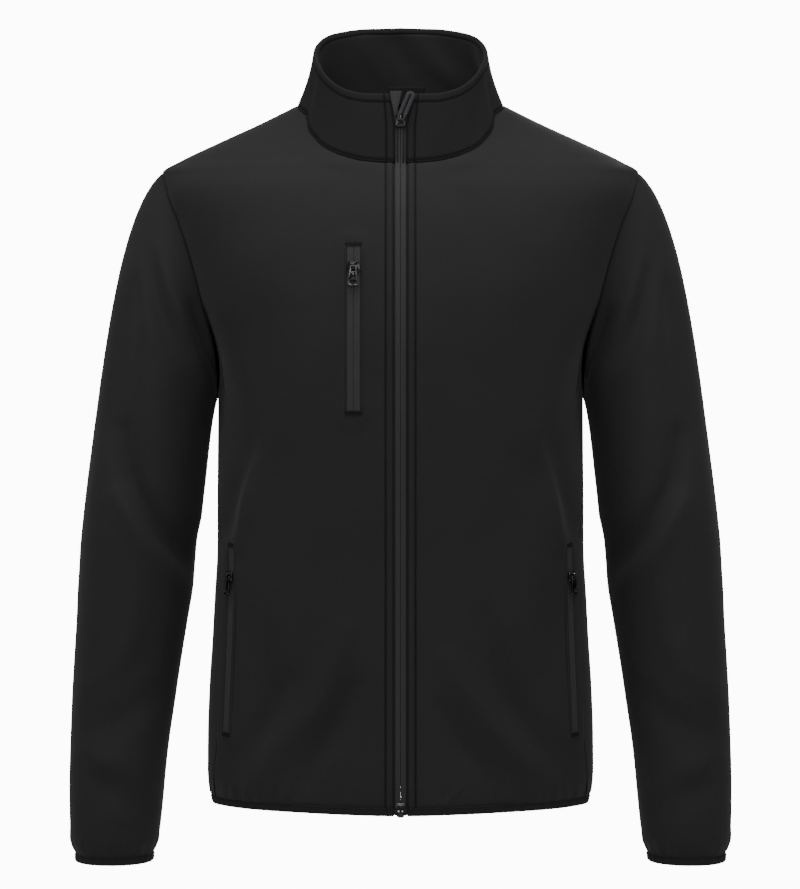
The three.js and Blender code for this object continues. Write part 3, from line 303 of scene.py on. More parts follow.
# Creases: lines seen from the front or the back, each with its reach and how far the cloth lifts
FRONT_RIGHT_CREASES = [
    # points as (x, z), reach, lift
    ([(-53, -505), (-77, -573), (-96, -594), (-115, -618), (-138, -643)], 15, 3.8),
    ([(-110, -551), (-124, -586), (-145, -633)], 13, -3.2),
    ([(-46, -556), (-73, -618), (-80, -640)], 13, -3.0),
    ([(-60, -612), (-72, -646)], 9, 1.6),
    ([(-152, -425), (-144, -386), (-138, -358), (-130, -343), (-124, -320)], 9, 2.6),
    ([(-164, -420), (-158, -384), (-148, -352), (-138, -328)], 9, -2.2),
    ([(-190, -215), (-176, -262), (-158, -322), (-150, -352)], 19, -3.2),
    ([(-168, -205), (-150, -262), (-128, -320)], 22, 1.5),
    ([(-152, -300), (-118, -352), (-84, -432)], 26, -1.5),
    ([(-134, -440), (-112, -492), (-96, -538)], 22, 1.4),
    ([(-148, -470), (-140, -530), (-132, -580)], 16, -1.4),
    ([(-92, -118), (-120, -150), (-150, -196)], 26, 1.6),
    ([(-44, -86), (-74, -116), (-96, -150)], 20, -1.1),
    ([(-26, -330), (-34, -420), (-30, -500)], 24, -1.2),
]
FRONT_LEFT_CREASES = [
    ([(46, -532), (79, -586), (107, -618), (136, -643)], 15, 3.8),
    ([(79, -492), (99, -565), (127, -607), (146, -636)], 14, -3.2),
    ([(40, -575), (62, -622), (84, -650)], 12, -2.6),
    ([(58, -625), (78, -650)], 9, 1.5),
    ([(150, -425), (143, -388), (138, -358), (129, -332), (125, -317)], 9, 2.6),
    ([(163, -418), (157, -384), (147, -350), (139, -326)], 9, -2.2),
    ([(190, -215), (174, -262), (160, -322), (152, -356)], 19, -3.2),
    ([(166, -208), (148, -266), (130, -326)], 22, 1.5),
    ([(150, -306), (120, -360), (92, -446)], 26, -1.6),
    ([(130, -436), (108, -486), (86, -530)], 22, 1.3),
    ([(146, -474), (140, -536), (130, -574)], 16, -1.3),
    ([(90, -114), (122, -152), (148, -200)], 26, 1.6),
    ([(42, -86), (70, -112), (98, -150)], 20, -1.1),
    ([(28, -300), (40, -380), (34, -470)], 24, -1.2),
]
BACK_CREASES = [
    ([(-60, -380), (-96, -352), (-130, -330)], 17, -3.2),
    ([(64, -392), (100, -360), (132, -336)], 18, -3.2),
    ([(-104, -560), (-90, -500), (-66, -440)], 19, 3.6),
    ([(100, -575), (84, -505), (62, -430)], 19, 3.6),
    ([(-170, -205), (-142, -242), (-110, -270)], 17, -3.4),
    ([(170, -200), (140, -236), (112, -262)], 17, -3.4),
    ([(-30, -655), (-44, -625), (-52, -590)], 14, 2.6),
    ([(34, -655), (52, -620), (62, -585)], 14, 2.6),
    ([(-150, -230), (-112, -292), (-58, -330)], 18, 2.4),
    ([(152, -226), (118, -284), (66, -322)], 18, 2.4),
    ([(-160, -420), (-110, -446), (-70, -462)], 13, -2.3),
    ([(158, -432), (112, -452), (76, -476)], 13, -2.3),
    ([(-166, -480), (-122, -500), (-96, -530)], 14, 2.2),
    ([(164, -486), (126, -512), (92, -536)], 14, 2.2),
    ([(-40, -470), (0, -486), (46, -474)], 18, -2.4),
    ([(-56, -432), (4, -448), (60, -430)], 16, 1.9),
    ([(-62, -40), (-30, -64), (0, -70), (34, -62), (64, -38)], 15, -1.6),
    ([(-128, -610), (-112, -580), (-104, -544)], 14, -2.4),
    ([(132, -618), (118, -584), (106, -556)], 14, -2.4),
    ([(-84, -120), (-102, -176), (-104, -228)], 24, 1.7),
    ([(86, -116), (100, -170), (106, -226)], 24, 1.7),
]
SLEEVE_FRONT_CREASES = [
    ([(-232, -147), (-214, -196), (-199, -235), (-188, -264), (-179, -299)], 10, 3.2),
    ([(-236, -149), (-232, -186), (-218, -224), (-207, -241)], 10, -3.0),
    ([(-195, -203), (-176, -245)], 11, -3.6),
    ([(-247, -153), (-240, -231)], 11, 1.7),
    ([(-261, -184), (-267, -245), (-267, -303), (-257, -351)], 18, -4.2),
    ([(-267, -317), (-261, -348), (-253, -371), (-242, -390), (-229, -411), (-216, -429), (-203, -444)],
     12, -5.6),
    ([(-263, -379), (-248, -405), (-234, -429), (-212, -457)], 12, 3.8),
    ([(-286, -330), (-292, -380), (-284, -430)], 20, 1.6),
    ([(-232, -470), (-238, -510), (-252, -548)], 15, -1.8),
    ([(-228, -560), (-256, -586), (-290, -600)], 15, -2.2),
    ([(-296, -560), (-270, -540), (-246, -500)], 15, 1.8),
    ([(-296, -640), (-272, -656), (-244, -668)], 13, -1.9),
    ([(-298, -618), (-276, -630), (-250, -632)], 12, 1.4),
    ([(-262, -650), (-266, -690)], 12, 1.3),
]
SLEEVE_BACK_CREASES = [
    ([(-290, -398), (-250, -394), (-205, -384)], 13, -5.2),
    ([(-296, -436), (-262, -442), (-216, -452)], 14, -4.6),
    ([(-296, -480), (-262, -474), (-224, -470)], 14, 3.6),
    ([(-222, -160), (-214, -230), (-206, -300)], 14, -3.2),
    ([(-262, -580), (-250, -606), (-236, -640)], 14, -2.4),
    ([(-292, -418), (-254, -416), (-214, -418)], 11, 3.4),
    ([(-240, -150), (-238, -215), (-226, -290)], 14, 2.4),
    ([(-286, -350), (-256, -362), (-214, -356)], 12, 2.8),
    ([(-290, -520), (-262, -532), (-236, -560)], 14, -2.4),
    ([(-292, -660), (-270, -672), (-248, -676)], 12, 1.6),
]


def smooth_line(points, count=28):
    """More points along a soft curve through a few."""
    p = np.array(points, float)
    run = np.concatenate([[0], np.cumsum(np.linalg.norm(np.diff(p, axis=0), axis=1))])
    table = {"run": run, "x": p[:, 0], "z": p[:, 1]}
    at = np.linspace(0, run[-1], count)
    return np.stack([value_at(table, "run", "x", at), value_at(table, "run", "z", at)], -1)


def crease_lift(creases, x, z):
    """How far the creases lift the cloth at points seen from the front or the back."""
    lift = np.zeros_like(x)
    for points, reach, height in creases:
        line = smooth_line(points)
        low, high = line.min(0) - 2.4 * reach, line.max(0) + 2.4 * reach
        near = (x > low[0]) & (x < high[0]) & (z > low[1]) & (z < high[1])
        here = np.stack([x[near], z[near]], -1)
        step = np.diff(line, axis=0)
        best, along = np.full(len(here), 1e9), np.zeros(len(here))
        for k, (start, way) in enumerate(zip(line[:-1], step)):
            t = np.clip(((here - start) @ way) / (way @ way), 0, 1)
            away = np.linalg.norm(here - start - t[:, None] * way, axis=1)
            closer = away < best
            best = np.where(closer, away, best)
            along = np.where(closer, (k + t) / len(step), along)
        swell = 0.45 + 0.55 * np.sin(np.pi * np.clip(along, 0, 1)) ** 0.8
        lift[near] += height * bell(best, 0, reach * (0.85 + 0.3 * along)) * swell
    return lift


# Gathers over the elastic bands: place along the band, lean, how far each stands out, how high it runs
HEM_GATHERS = {
    -1: columns("x lean crest rise reach", [
        (-22, 0.1, 0.5, 9, 4), (-30, 0.2, 0.9, 12, 3.6), (-40, 0.1, 0.6, 9, 3.6), (-50, 0.3, 1.2, 14, 4),
        (-64, 0.15, 1.2, 15, 4.4), (-78, 0.1, 0.8, 11, 4), (-90, 0.2, 1.1, 12, 3.4), (-96, 0.25, 1.0, 13, 3),
        (-104, 0.1, 1.4, 15, 3), (-110, 0.3, 2.2, 19, 3.4), (-123, 0.1, 1.6, 15, 3.6), (-133, -0.1, 1.8, 16, 3.6),
        (-145, 0.1, 1.7, 14, 3.8), (-157, -0.1, 1.3, 12, 3.6), (-167, 0, 1.0, 11, 3.4),
    ]),
    1: columns("x lean crest rise reach", [
        (20, 0, 0.4, 8, 4), (30, -0.1, 0.7, 10, 4), (40, 0.9, 1.4, 17, 3.8), (58, 0.2, 1.0, 12, 3.4),
        (66, 0, 0.9, 11, 3), (74, -0.1, 1.4, 14, 3.4), (85, 0.1, 1.4, 15, 3.4), (99, 0, 1.8, 17, 3.6),
        (107, -0.2, 1.5, 13, 3), (120, 0, 1.7, 15, 3.4), (127, 0.1, 1.3, 13, 3), (135, -0.1, 1.6, 14, 3.2),
        (146, 0, 1.7, 15, 3.6), (157, -0.1, 1.2, 12, 3.4), (167, 0, 1.0, 10, 3.4),
    ]),
}


def gather_profile(h):
    rise = np.sin(np.minimum(np.maximum(h, 0) * 3.2, 1) * np.pi / 2)
    return np.where(h < 1.6, rise * np.cos(np.clip(h / 1.6, 0, 1) * np.pi / 2), 0)


def uneven_gathers(length, count, least, most):
    """Gathers that differ by a fixed rule, for the stretches that the photograph hides."""
    i = np.arange(count)
    swing = 0.5 + 0.5 * np.sin(i * 2.4 + 0.9) * np.cos(i * 1.1)
    return {
        "x": length * (i + 0.7 + 0.3 * np.sin(i * 1.7)) / (count + 0.4),
        "lean": 0.25 * np.sin(i * 3.1),
        "crest": mix(least, most, swing),
        "rise": mix(9, 17, swing),
        "reach": mix(3, 4.4, 1 - swing),
    }


def gather_lift(gathers, place, rise, loop=0.0):
    lift = np.zeros(np.broadcast(place, rise).shape)
    for x, lean, crest, high, reach in zip(*(gathers[c] for c in ("x", "lean", "crest", "rise", "reach"))):
        away = place - x - lean * np.maximum(rise, 0)
        if loop:
            away = (away + loop / 2) % loop - loop / 2
        lift += crest * bell(away, 0, reach) * gather_profile(rise / high)
    return lift


# Pocket zips: their lines on the fronts
POCKETS = {
    "chest": {"side": -1, "top": (43.1, -148), "bottom": (43.1, -301), "half": 6.2},
    "hand_right": {"side": -1, "top": (157.5, -427), "bottom": (163.6, -603), "half": 4.2},
    "hand_left": {"side": 1, "top": (157.5, -427), "bottom": (163.6, -603), "half": 4.2},
}


# Lift of each cloth face over the plain form
def front_creases(x, z):
    right, left = crease_lift(FRONT_RIGHT_CREASES, x, z), crease_lift(FRONT_LEFT_CREASES, x, z)
    return np.where(x < 0, right, left)


def body_lift(turn, z):
    """The creases' lift at places of the body, calm at the sides and by the zip."""
    base = body_point(turn, z)
    fade = ramp(np.abs(np.abs(turn) - 90), 0, 13)
    by_zip = ramp(np.abs(base[..., 0]), FRONT_EDGE, FRONT_EDGE + 22)
    front = front_creases(base[..., 0], z) * by_zip
    back = crease_lift(BACK_CREASES, base[..., 0], z)
    return np.where(np.abs(turn) < 90, front, back) * fade * BODY_CREASE_DEPTH


def pocket_swell(x, z):
    """The cloth stands a little proud round the pockets."""
    lift = np.zeros_like(x)
    for pocket in POCKETS.values():
        t = np.clip((z - pocket["top"][1]) / (pocket["bottom"][1] - pocket["top"][1]), 0, 1)
        line_x = pocket["side"] * mix(pocket["top"][0], pocket["bottom"][0], t)
        line_z = mix(pocket["top"][1], pocket["bottom"][1], t)
        away = np.hypot(x - line_x, z - line_z)
        lift += 1.3 * ramp(away, pocket["half"] + 15, pocket["half"] + 3)
    return lift


def run_across(points):
    """Distances along each row from its first point."""
    steps = np.linalg.norm(np.diff(points, axis=1), axis=-1)
    return np.concatenate([np.zeros((len(points), 1)), np.cumsum(steps, axis=1)], axis=1)


def run_up(points):
    return run_across(points.transpose(1, 0, 2)).T


def seam_sink(gap, stitch=None, roll=0.5):
    """A sewn edge: the cloth rolls into the seam and sinks a little under its topstitching."""
    sink = -roll * bell(gap, 0, 1.3)
    if stitch is not None:
        sink = sink + 0.3 * bell(gap, stitch * 0.5, stitch * 0.3) - 0.4 * bell(gap, stitch, 1.0)
    return sink


def half_panel(face, side):
    """Half a body panel on one side: outer points, normals, distances to its edges and seam marks."""
    wide, tall = (122, 216) if face == "front" else (92, 216)
    margin_u, margin_v = SEAM / 2 / 290, SEAM / 2 / 600
    u = mix(margin_u if face == "front" else 0, 1 - margin_u, crowded(wide, 0.6))[None, :]
    v = mix(margin_v, 1 - margin_v, crowded(tall, 0.55))[:, None]
    u, v = np.broadcast_arrays(u, v)
    turn, z = panel_places(u, v, face)
    z[0] -= HEM_TUCK
    base = body_point(turn * side, z)
    base[-1] += 0.8 * unit(base[-1] - base[-2])
    base[:, -1] += 0.6 * unit(base[:, -1] - base[:, -2])
    normal = body_normal(turn * side, z)
    across, up, seen = run_across(base), run_up(base) - HEM_TUCK, run_across(base * [1, 0, 1])
    gaps = {"inner": across, "outer": across[:, -1:] - across, "arm": seen[:, -1:] - seen}
    gaps.update({"hem": up, "top": up[-1:] - up})
    lift = body_lift(turn * side, z)
    is_arm = ramp(v, SIDE_SHARE - 0.005, SIDE_SHARE + 0.01)
    lift += seam_sink(gaps["outer"], roll=0.7) * (1 - is_arm)
    lift += (seam_sink(gaps["outer"], roll=0.3) - 0.4 * bell(gaps["arm"], ARMHOLE_STITCH, 1.0)) * is_arm
    on_neck = ramp(0.5 - u, -0.01, 0.01)
    on_shoulder = seam_sink(gaps["top"], SHOULDER_STITCH, 0.6) * (1 - on_neck)
    lift += seam_sink(gaps["top"], 3, 0.4) * on_neck + on_shoulder
    if face == "front":
        lift += gather_lift(HEM_GATHERS[side], base[..., 0], gaps["hem"])
        lift += 0.7 * ramp(gaps["inner"], 9.5, 6.5) - 0.6 * bell(gaps["inner"], ZIP_STITCH, 1.0)
        lift -= 0.9 * bell(gaps["inner"], 0, 1.2)
        lift += pocket_swell(base[..., 0], base[..., 2])
    else:
        turned = np.radians(180 - turn) * 120
        lift += gather_lift(uneven_gathers(230, 20, 0.8, 1.9), turned, gaps["hem"])
    lift -= 0.6 * bell(gaps["hem"], 0, 1.5)
    lift -= 2.2 * bell(z, SHOULDER_TIP_Z - 2, 11) * ramp(gaps["outer"], 14, 50) * ramp(gaps["top"], 10, 30)
    return {"base": base, "normal": normal, "lift": lift, "gaps": gaps, "arm": is_arm, "neck": on_neck}


def outer_face(part):
    return part["base"] + part["normal"] * part["lift"][..., None]


# Making meshes
def facing_out(points, faces):
    """Turns a closed mesh's faces outwards."""
    volume = 0.0
    for face in faces:
        p = points[np.array(face)]
        for k in range(1, len(face) - 1):
            volume += np.dot(p[0], np.cross(p[k], p[k + 1]))
    return faces if volume >= 0 else [face[::-1] for face in faces]


def quads_face_out(points, quads):
    a, b, c, d = (points[quads[:, k]] for k in range(4))
    volume = (a * np.cross(b, c)).sum() + (a * np.cross(c, d)).sum()
    return quads if volume >= 0 else quads[:, ::-1]


def new_piece(name, points, faces, finish, uv=None, marks=None, smooth=True):
    """A mesh object from points in millimetres."""
    mesh = bpy.data.meshes.new(name)
    mesh.from_pydata((np.asarray(points) * 0.001).tolist(), [], [list(map(int, f)) for f in faces])
    for key, values in (marks or {}).items():
        mesh.attributes.new(key, "FLOAT", "POINT").data.foreach_set("value", values.astype(np.float32))
    if uv is not None:
        layer = mesh.uv_layers.new(name="UVMap")
        corners = np.empty(len(mesh.loops), np.int32)
        mesh.loops.foreach_get("vertex_index", corners)
        layer.data.foreach_set("uv", (uv[corners] * 0.001).astype(np.float32).ravel())
    if smooth:
        mesh.shade_smooth()
    mesh.materials.append(finish)
    piece = bpy.data.objects.new(name, mesh)
    bpy.context.scene.collection.objects.link(piece)
    return piece


def grid_quads(rows, cols, loop=False, start=0):
    index = np.arange(rows * cols).reshape(rows, cols) + start
    if loop:
        index = np.concatenate([index, index[:, :1]], axis=1)
    a, b, c, d = index[:-1, :-1], index[:-1, 1:], index[1:, 1:], index[1:, :-1]
    return np.stack([a, b, c, d], -1).reshape(-1, 4), index


def rim_quads(edge, shift):
    return np.stack([edge[:-1], edge[:-1] + shift, edge[1:] + shift, edge[1:]], -1)


def wall(name, outer, normal, finish, thickness=CLOTH, loop=False, marks=None):
    """A cloth wall: the outer face, the same face moved in, and the rims between them."""
    rows, cols = outer.shape[:2]
    count = rows * cols
    points = np.concatenate([outer.reshape(-1, 3), (outer - normal * thickness).reshape(-1, 3)])
    face, index = grid_quads(rows, cols, loop)
    parts = [face, face[:, ::-1] + count, rim_quads(index[0], count), rim_quads(index[-1], count)[:, ::-1]]
    if not loop:
        parts += [rim_quads(index[:, 0], count)[:, ::-1], rim_quads(index[:, -1], count)]
    quads = quads_face_out(points, np.concatenate(parts))
    uv = np.stack([run_across(outer), run_up(outer)], -1).reshape(-1, 2)
    both = {key: np.tile(values.ravel(), 2) for key, values in (marks or {}).items()}
    return new_piece(name, points, quads, finish, np.tile(uv, (2, 1)), both)


def sweep(name, rings, finish, ends=True, marks=None):
    """A solid from rings of points along a course; flat faces close its ends."""
    rings = np.asarray(rings)
    rows, cols = rings.shape[:2]
    points = rings.reshape(-1, 3)
    body, index = grid_quads(rows, cols, loop=True)
    faces = body.tolist()
    if ends:
        faces += [index[0, :-1][::-1].tolist(), index[-1, :-1].tolist()]
    else:
        last, first = index[-1], index[0]
        faces += np.stack([last[:-1], last[1:], first[1:], first[:-1]], -1).tolist()
    faces = facing_out(points, faces)
    around = run_across(np.concatenate([rings, rings[:, :1]], axis=1))[:, :-1]
    uv = np.stack([around, run_up(rings)], -1).reshape(-1, 2)
    return new_piece(name, points, faces, finish, uv, marks)


def line_at(points, gaps, gap):
    """The line on a cloth face at one distance from an edge, a point for each row."""
    return np.array([[np.interp(gap, away, row[:, k]) for k in range(3)] for row, away in zip(points, gaps)])


# Finishes
def node(tree, kind, **values):
    made = tree.nodes.new(kind)
    for key, value in values.items():
        if key in made.inputs:
            made.inputs[key].default_value = value
        else:
            setattr(made, key, value)
    return made


def new_group(name, inputs, outputs):
    tree = bpy.data.node_groups.new(name, "ShaderNodeTree")
    for label, value in inputs:
        kind = "NodeSocketVector" if value is None else "NodeSocketFloat"
        made = tree.interface.new_socket(label, in_out="INPUT", socket_type=kind)
        if value is not None:
            made.default_value = value
    for label in outputs:
        tree.interface.new_socket(label, in_out="OUTPUT", socket_type="NodeSocketFloat")
    return tree, tree.nodes.new("NodeGroupInput"), tree.nodes.new("NodeGroupOutput")


def maths(tree, operation, a, b):
    made = node(tree, "ShaderNodeMath", operation=operation)
    for socket, value in zip(made.inputs, (a, b)):
        if isinstance(value, (int, float)):
            socket.default_value = value
        else:
            tree.links.new(value, socket)
    return made.outputs[0]


def woven_group():
    """Crossing threads with a little unevenness: their height and a fine speckle."""
    tree, given, out = new_group("woven_threads", [("Place", None), ("Warp", 1800.0), ("Weft", 1500.0)],
                                 ["Height", "Speckle"])
    waves = []
    for direction, label in (("X", "Warp"), ("Y", "Weft")):
        wave = node(tree, "ShaderNodeTexWave", bands_direction=direction, Distortion=1.2, Detail=1.0)
        wave.inputs["Detail Scale"].default_value = 2.0
        tree.links.new(given.outputs["Place"], wave.inputs["Vector"])
        tree.links.new(maths(tree, "MULTIPLY", given.outputs[label], 0.1), wave.inputs["Scale"])
        waves.append(wave.outputs["Fac"])
    fibres = node(tree, "ShaderNodeTexNoise", Scale=900.0, Detail=3.0, Roughness=0.6)
    tree.links.new(given.outputs["Place"], fibres.inputs["Vector"])
    crossing = maths(tree, "MULTIPLY", waves[0], waves[1])
    tree.links.new(maths(tree, "ADD", crossing, fibres.outputs["Fac"]), out.inputs["Height"])
    tree.links.new(fibres.outputs["Fac"], out.inputs["Speckle"])
    return tree


def worn_group():
    """Slow changes over the cloth, as from handling: a mask about one."""
    tree, given, out = new_group("handled_cloth", [("Place", None), ("Size", 9.0), ("Amount", 0.25)], ["Shade"])
    slow = node(tree, "ShaderNodeTexNoise", Detail=3.0, Roughness=0.5)
    tree.links.new(given.outputs["Place"], slow.inputs["Vector"])
    tree.links.new(given.outputs["Size"], slow.inputs["Scale"])
    off = maths(tree, "SUBTRACT", slow.outputs["Fac"], 0.5)
    weighed = maths(tree, "MULTIPLY", off, given.outputs["Amount"])
    tree.links.new(maths(tree, "ADD", weighed, 1.0), out.inputs["Shade"])
    return tree


def ribbed_group():
    """Ribs that run one way, with thread noise: their height and a mask of the crests, which the ribbed finishes
    use for painted light and shade on the ribs.
    """
    tree, given, out = new_group("ribbed_weave", [("Place", None), ("Ribs", 900.0), ("Cross", 2200.0)],
                                 ["Height", "Crest"])
    ribs = node(tree, "ShaderNodeTexWave", bands_direction="X", Distortion=0.3)
    cross = node(tree, "ShaderNodeTexWave", bands_direction="Y", Distortion=0.8)
    for wave, label in ((ribs, "Ribs"), (cross, "Cross")):
        tree.links.new(given.outputs["Place"], wave.inputs["Vector"])
        tree.links.new(maths(tree, "MULTIPLY", given.outputs[label], 0.1), wave.inputs["Scale"])
    weak = maths(tree, "MULTIPLY", cross.outputs["Fac"], 0.4)
    tree.links.new(maths(tree, "ADD", ribs.outputs["Fac"], weak), out.inputs["Height"])
    tree.links.new(ribs.outputs["Fac"], out.inputs["Crest"])
    return tree


WOVEN, WORN, RIBBED = woven_group(), worn_group(), ribbed_group()


def place_group(tree, group, place, **values):
    made = tree.nodes.new("ShaderNodeGroup")
    made.node_tree = group
    tree.links.new(place, made.inputs["Place"])
    for key, value in values.items():
        made.inputs[key].default_value = value
    return made


def new_finish(name, roughness, **constants):
    made = bpy.data.materials.new(name)
    made.use_nodes = True
    shader = made.node_tree.nodes["Principled BSDF"]
    shader.inputs["Roughness"].default_value = roughness
    for key, value in constants.items():
        shader.inputs[key.replace("_", " ")].default_value = value
    return made, made.node_tree, shader


def tinted(tree, color, masks, shader):
    """The base colour times the masks."""
    shade = masks[0]
    for mask in masks[1:]:
        shade = maths(tree, "MULTIPLY", shade, mask)
    mixer = node(tree, "ShaderNodeMix", data_type="RGBA", blend_type="MULTIPLY")
    mixer.inputs[0].default_value = 1.0
    mixer.inputs[6].default_value = (*color, 1)
    combine = tree.nodes.new("ShaderNodeCombineColor")
    for k in range(3):
        tree.links.new(shade, combine.inputs[k])
    tree.links.new(combine.outputs[0], mixer.inputs[7])
    tree.links.new(mixer.outputs[2], shader.inputs["Base Color"])


def bumped(tree, height, strength, distance, shader):
    bump = node(tree, "ShaderNodeBump", Strength=strength, Distance=distance)
    tree.links.new(height, bump.inputs["Height"])
    tree.links.new(bump.outputs["Normal"], shader.inputs["Normal"])


def cloth_finish(name, color, roughness, sheen, shades_seams=False, warp=1800.0, slow=0.3):
    """Matt woven cloth; when asked, it reads the seam marks that the pattern pieces carry: they darken its colour
    as painted shade in the seams' grooves and sink its bump.
    """
    made, tree, shader = new_finish(name, roughness, Sheen_Weight=sheen, Sheen_Roughness=0.45)
    shader.inputs["Specular IOR Level"].default_value = 0.12
    uv = node(tree, "ShaderNodeUVMap", uv_map="UVMap")
    place = tree.nodes.new("ShaderNodeTexCoord")
    weave = place_group(tree, WOVEN, uv.outputs["UV"], Warp=warp, Weft=warp * 0.85)
    worn = place_group(tree, WORN, place.outputs["Object"], Size=9.0, Amount=slow)
    speck = maths(tree, "ADD", maths(tree, "MULTIPLY", weave.outputs["Speckle"], 0.3), 0.85)
    masks, height = [worn.outputs["Shade"], speck], weave.outputs["Height"]
    if shades_seams:
        # The seam marks darken the base colour: painted shade in the seams' grooves. They also sink the bump
        # there.
        seam = node(tree, "ShaderNodeAttribute", attribute_name="seam").outputs["Fac"]
        masks.append(maths(tree, "SUBTRACT", 1.0, maths(tree, "MULTIPLY", seam, 0.85)))
        height = maths(tree, "SUBTRACT", height, maths(tree, "MULTIPLY", seam, 2.0))
    tinted(tree, color, masks, shader)
    bumped(tree, height, 0.35, 0.00025, shader)
    return made


def ribbed_finish(name, color, roughness, ribs, cross, strength=0.5):
    made, tree, shader = new_finish(name, roughness, Sheen_Weight=0.03, Specular_IOR_Level=0.2)
    uv = node(tree, "ShaderNodeUVMap", uv_map="UVMap")
    weave = place_group(tree, RIBBED, uv.outputs["UV"], Ribs=ribs, Cross=cross)
    place = tree.nodes.new("ShaderNodeTexCoord")
    worn = place_group(tree, WORN, place.outputs["Object"], Size=20.0, Amount=0.2)
    # Painted light and shade on the ribs: the crests lighter and the troughs darker in the base colour.
    crest = maths(tree, "ADD", maths(tree, "MULTIPLY", weave.outputs["Crest"], 0.5), 0.7)
    tinted(tree, color, [worn.outputs["Shade"], crest], shader)
    bumped(tree, weave.outputs["Height"], strength, 0.0003, shader)
    return made


def gloss_finish(name, color, roughness, metallic, coat):
    """Enamel or moulded gloss, a little duller where it is handled."""
    made, tree, shader = new_finish(name, roughness, Metallic=metallic, Coat_Weight=coat, Coat_Roughness=0.12)
    place = tree.nodes.new("ShaderNodeTexCoord")
    worn = place_group(tree, WORN, place.outputs["Object"], Size=160.0, Amount=0.5)
    tinted(tree, color, [worn.outputs["Shade"]], shader)
    tree.links.new(maths(tree, "MULTIPLY", worn.outputs["Shade"], roughness), shader.inputs["Roughness"])
    fine = node(tree, "ShaderNodeTexNoise", Scale=1500.0, Detail=2.0)
    tree.links.new(place.outputs["Object"], fine.inputs["Vector"])
    bumped(tree, fine.outputs["Fac"], 0.08, 0.0001, shader)
    return made


SOFTSHELL = cloth_finish("softshell", (0.022, 0.022, 0.023), 0.8, 0.06, shades_seams=True)
# The shell cloth again, in a darker copy: its lower base colour is painted shade on the collar.
COLLAR_SHADED_SHELL = cloth_finish("collar_softshell_shaded", (0.016, 0.016, 0.017), 0.82, 0.04, shades_seams=True)
COLLAR_KNIT = cloth_finish("collar_lining_knit", (0.018, 0.018, 0.019), 0.9, 0.08, warp=1200.0, slow=0.4)
BINDING = ribbed_finish("elastic_binding", (0.013, 0.013, 0.014), 0.82, 3200.0, 700.0)
TAPE = ribbed_finish("zip_tape_weave", (0.036, 0.036, 0.038), 0.7, 2600.0, 900.0)
THREAD = ribbed_finish("sewing_thread", (0.009, 0.009, 0.01), 0.7, 4000.0, 4000.0, 0.3)
# A darker copy of the sewing thread for the bar tacks: its darkness is painted shade, the shadow in their
# grooves.
BAR_TACK_SHADE_THREAD = ribbed_finish("bar_tack_thread_painted_shade", (0.004, 0.004, 0.0045), 0.8, 4000.0, 4000.0, 0.3)
CORD = ribbed_finish("pull_cord_braid", (0.035, 0.035, 0.038), 0.55, 2400.0, 1600.0)
LABEL = ribbed_finish("label_ribbon", (0.006, 0.006, 0.007), 0.75, 800.0, 3600.0, 0.25)
ENAMEL = gloss_finish("slider_enamel", (0.006, 0.006, 0.007), 0.22, 0.3, 0.6)
MOULDED = gloss_finish("moulded_gloss", (0.006, 0.006, 0.007), 0.25, 0.0, 0.4)
NICKEL = gloss_finish("rivet_nickel", (0.62, 0.61, 0.6), 0.42, 1.0, 0.0)


# Rows of stitches, coils and bar tacks
def sewn_row_tree():
    """Small rounded beads at even steps along lines, flat on the cloth."""
    tree = bpy.data.node_groups.new("sewn_row", "GeometryNodeTree")
    tree.interface.new_socket("Lines", in_out="INPUT", socket_type="NodeSocketGeometry")
    for label, value in (("Step", 0.003), ("Along", 0.0022), ("Across", 0.0006), ("High", 0.0004)):
        made = tree.interface.new_socket(label, in_out="INPUT", socket_type="NodeSocketFloat")
        made.default_value = value
    tree.interface.new_socket("Finish", in_out="INPUT", socket_type="NodeSocketMaterial")
    tree.interface.new_socket("Sewing", in_out="OUTPUT", socket_type="NodeSocketGeometry")
    given, out = tree.nodes.new("NodeGroupInput"), tree.nodes.new("NodeGroupOutput")
    link = tree.links.new
    curve = tree.nodes.new("GeometryNodeMeshToCurve")
    points = tree.nodes.new("GeometryNodeCurveToPoints")
    points.mode = "LENGTH"
    link(given.outputs["Lines"], curve.inputs["Mesh"])
    link(curve.outputs[0], points.inputs["Curve"])
    link(given.outputs["Step"], points.inputs["Length"])
    out_way = tree.nodes.new("GeometryNodeInputNamedAttribute")
    out_way.data_type = "FLOAT_VECTOR"
    out_way.inputs["Name"].default_value = "out_way"
    turn_along = tree.nodes.new("FunctionNodeAlignRotationToVector")
    turn_along.axis = "X"
    link(points.outputs["Tangent"], turn_along.inputs["Vector"])
    turn_out = tree.nodes.new("FunctionNodeAlignRotationToVector")
    turn_out.axis, turn_out.pivot_axis = "Z", "X"
    link(turn_along.outputs[0], turn_out.inputs["Rotation"])
    link(out_way.outputs["Attribute"], turn_out.inputs["Vector"])
    bead = tree.nodes.new("GeometryNodeMeshUVSphere")
    bead.inputs["Segments"].default_value = 6
    bead.inputs["Rings"].default_value = 4
    bead.inputs["Radius"].default_value = 0.5
    size = tree.nodes.new("ShaderNodeCombineXYZ")
    for axis, label in zip("XYZ", ("Along", "Across", "High")):
        link(given.outputs[label], size.inputs[axis])
    place = tree.nodes.new("GeometryNodeInstanceOnPoints")
    link(points.outputs["Points"], place.inputs["Points"])
    link(bead.outputs["Mesh"], place.inputs["Instance"])
    link(turn_out.outputs[0], place.inputs["Rotation"])
    link(size.outputs[0], place.inputs["Scale"])
    real = tree.nodes.new("GeometryNodeRealizeInstances")
    link(place.outputs[0], real.inputs[0])
    finish = tree.nodes.new("GeometryNodeSetMaterial")
    link(real.outputs[0], finish.inputs["Geometry"])
    link(given.outputs["Finish"], finish.inputs["Material"])
    link(finish.outputs[0], out.inputs["Sewing"])
    return tree


SEWN_ROW = sewn_row_tree()


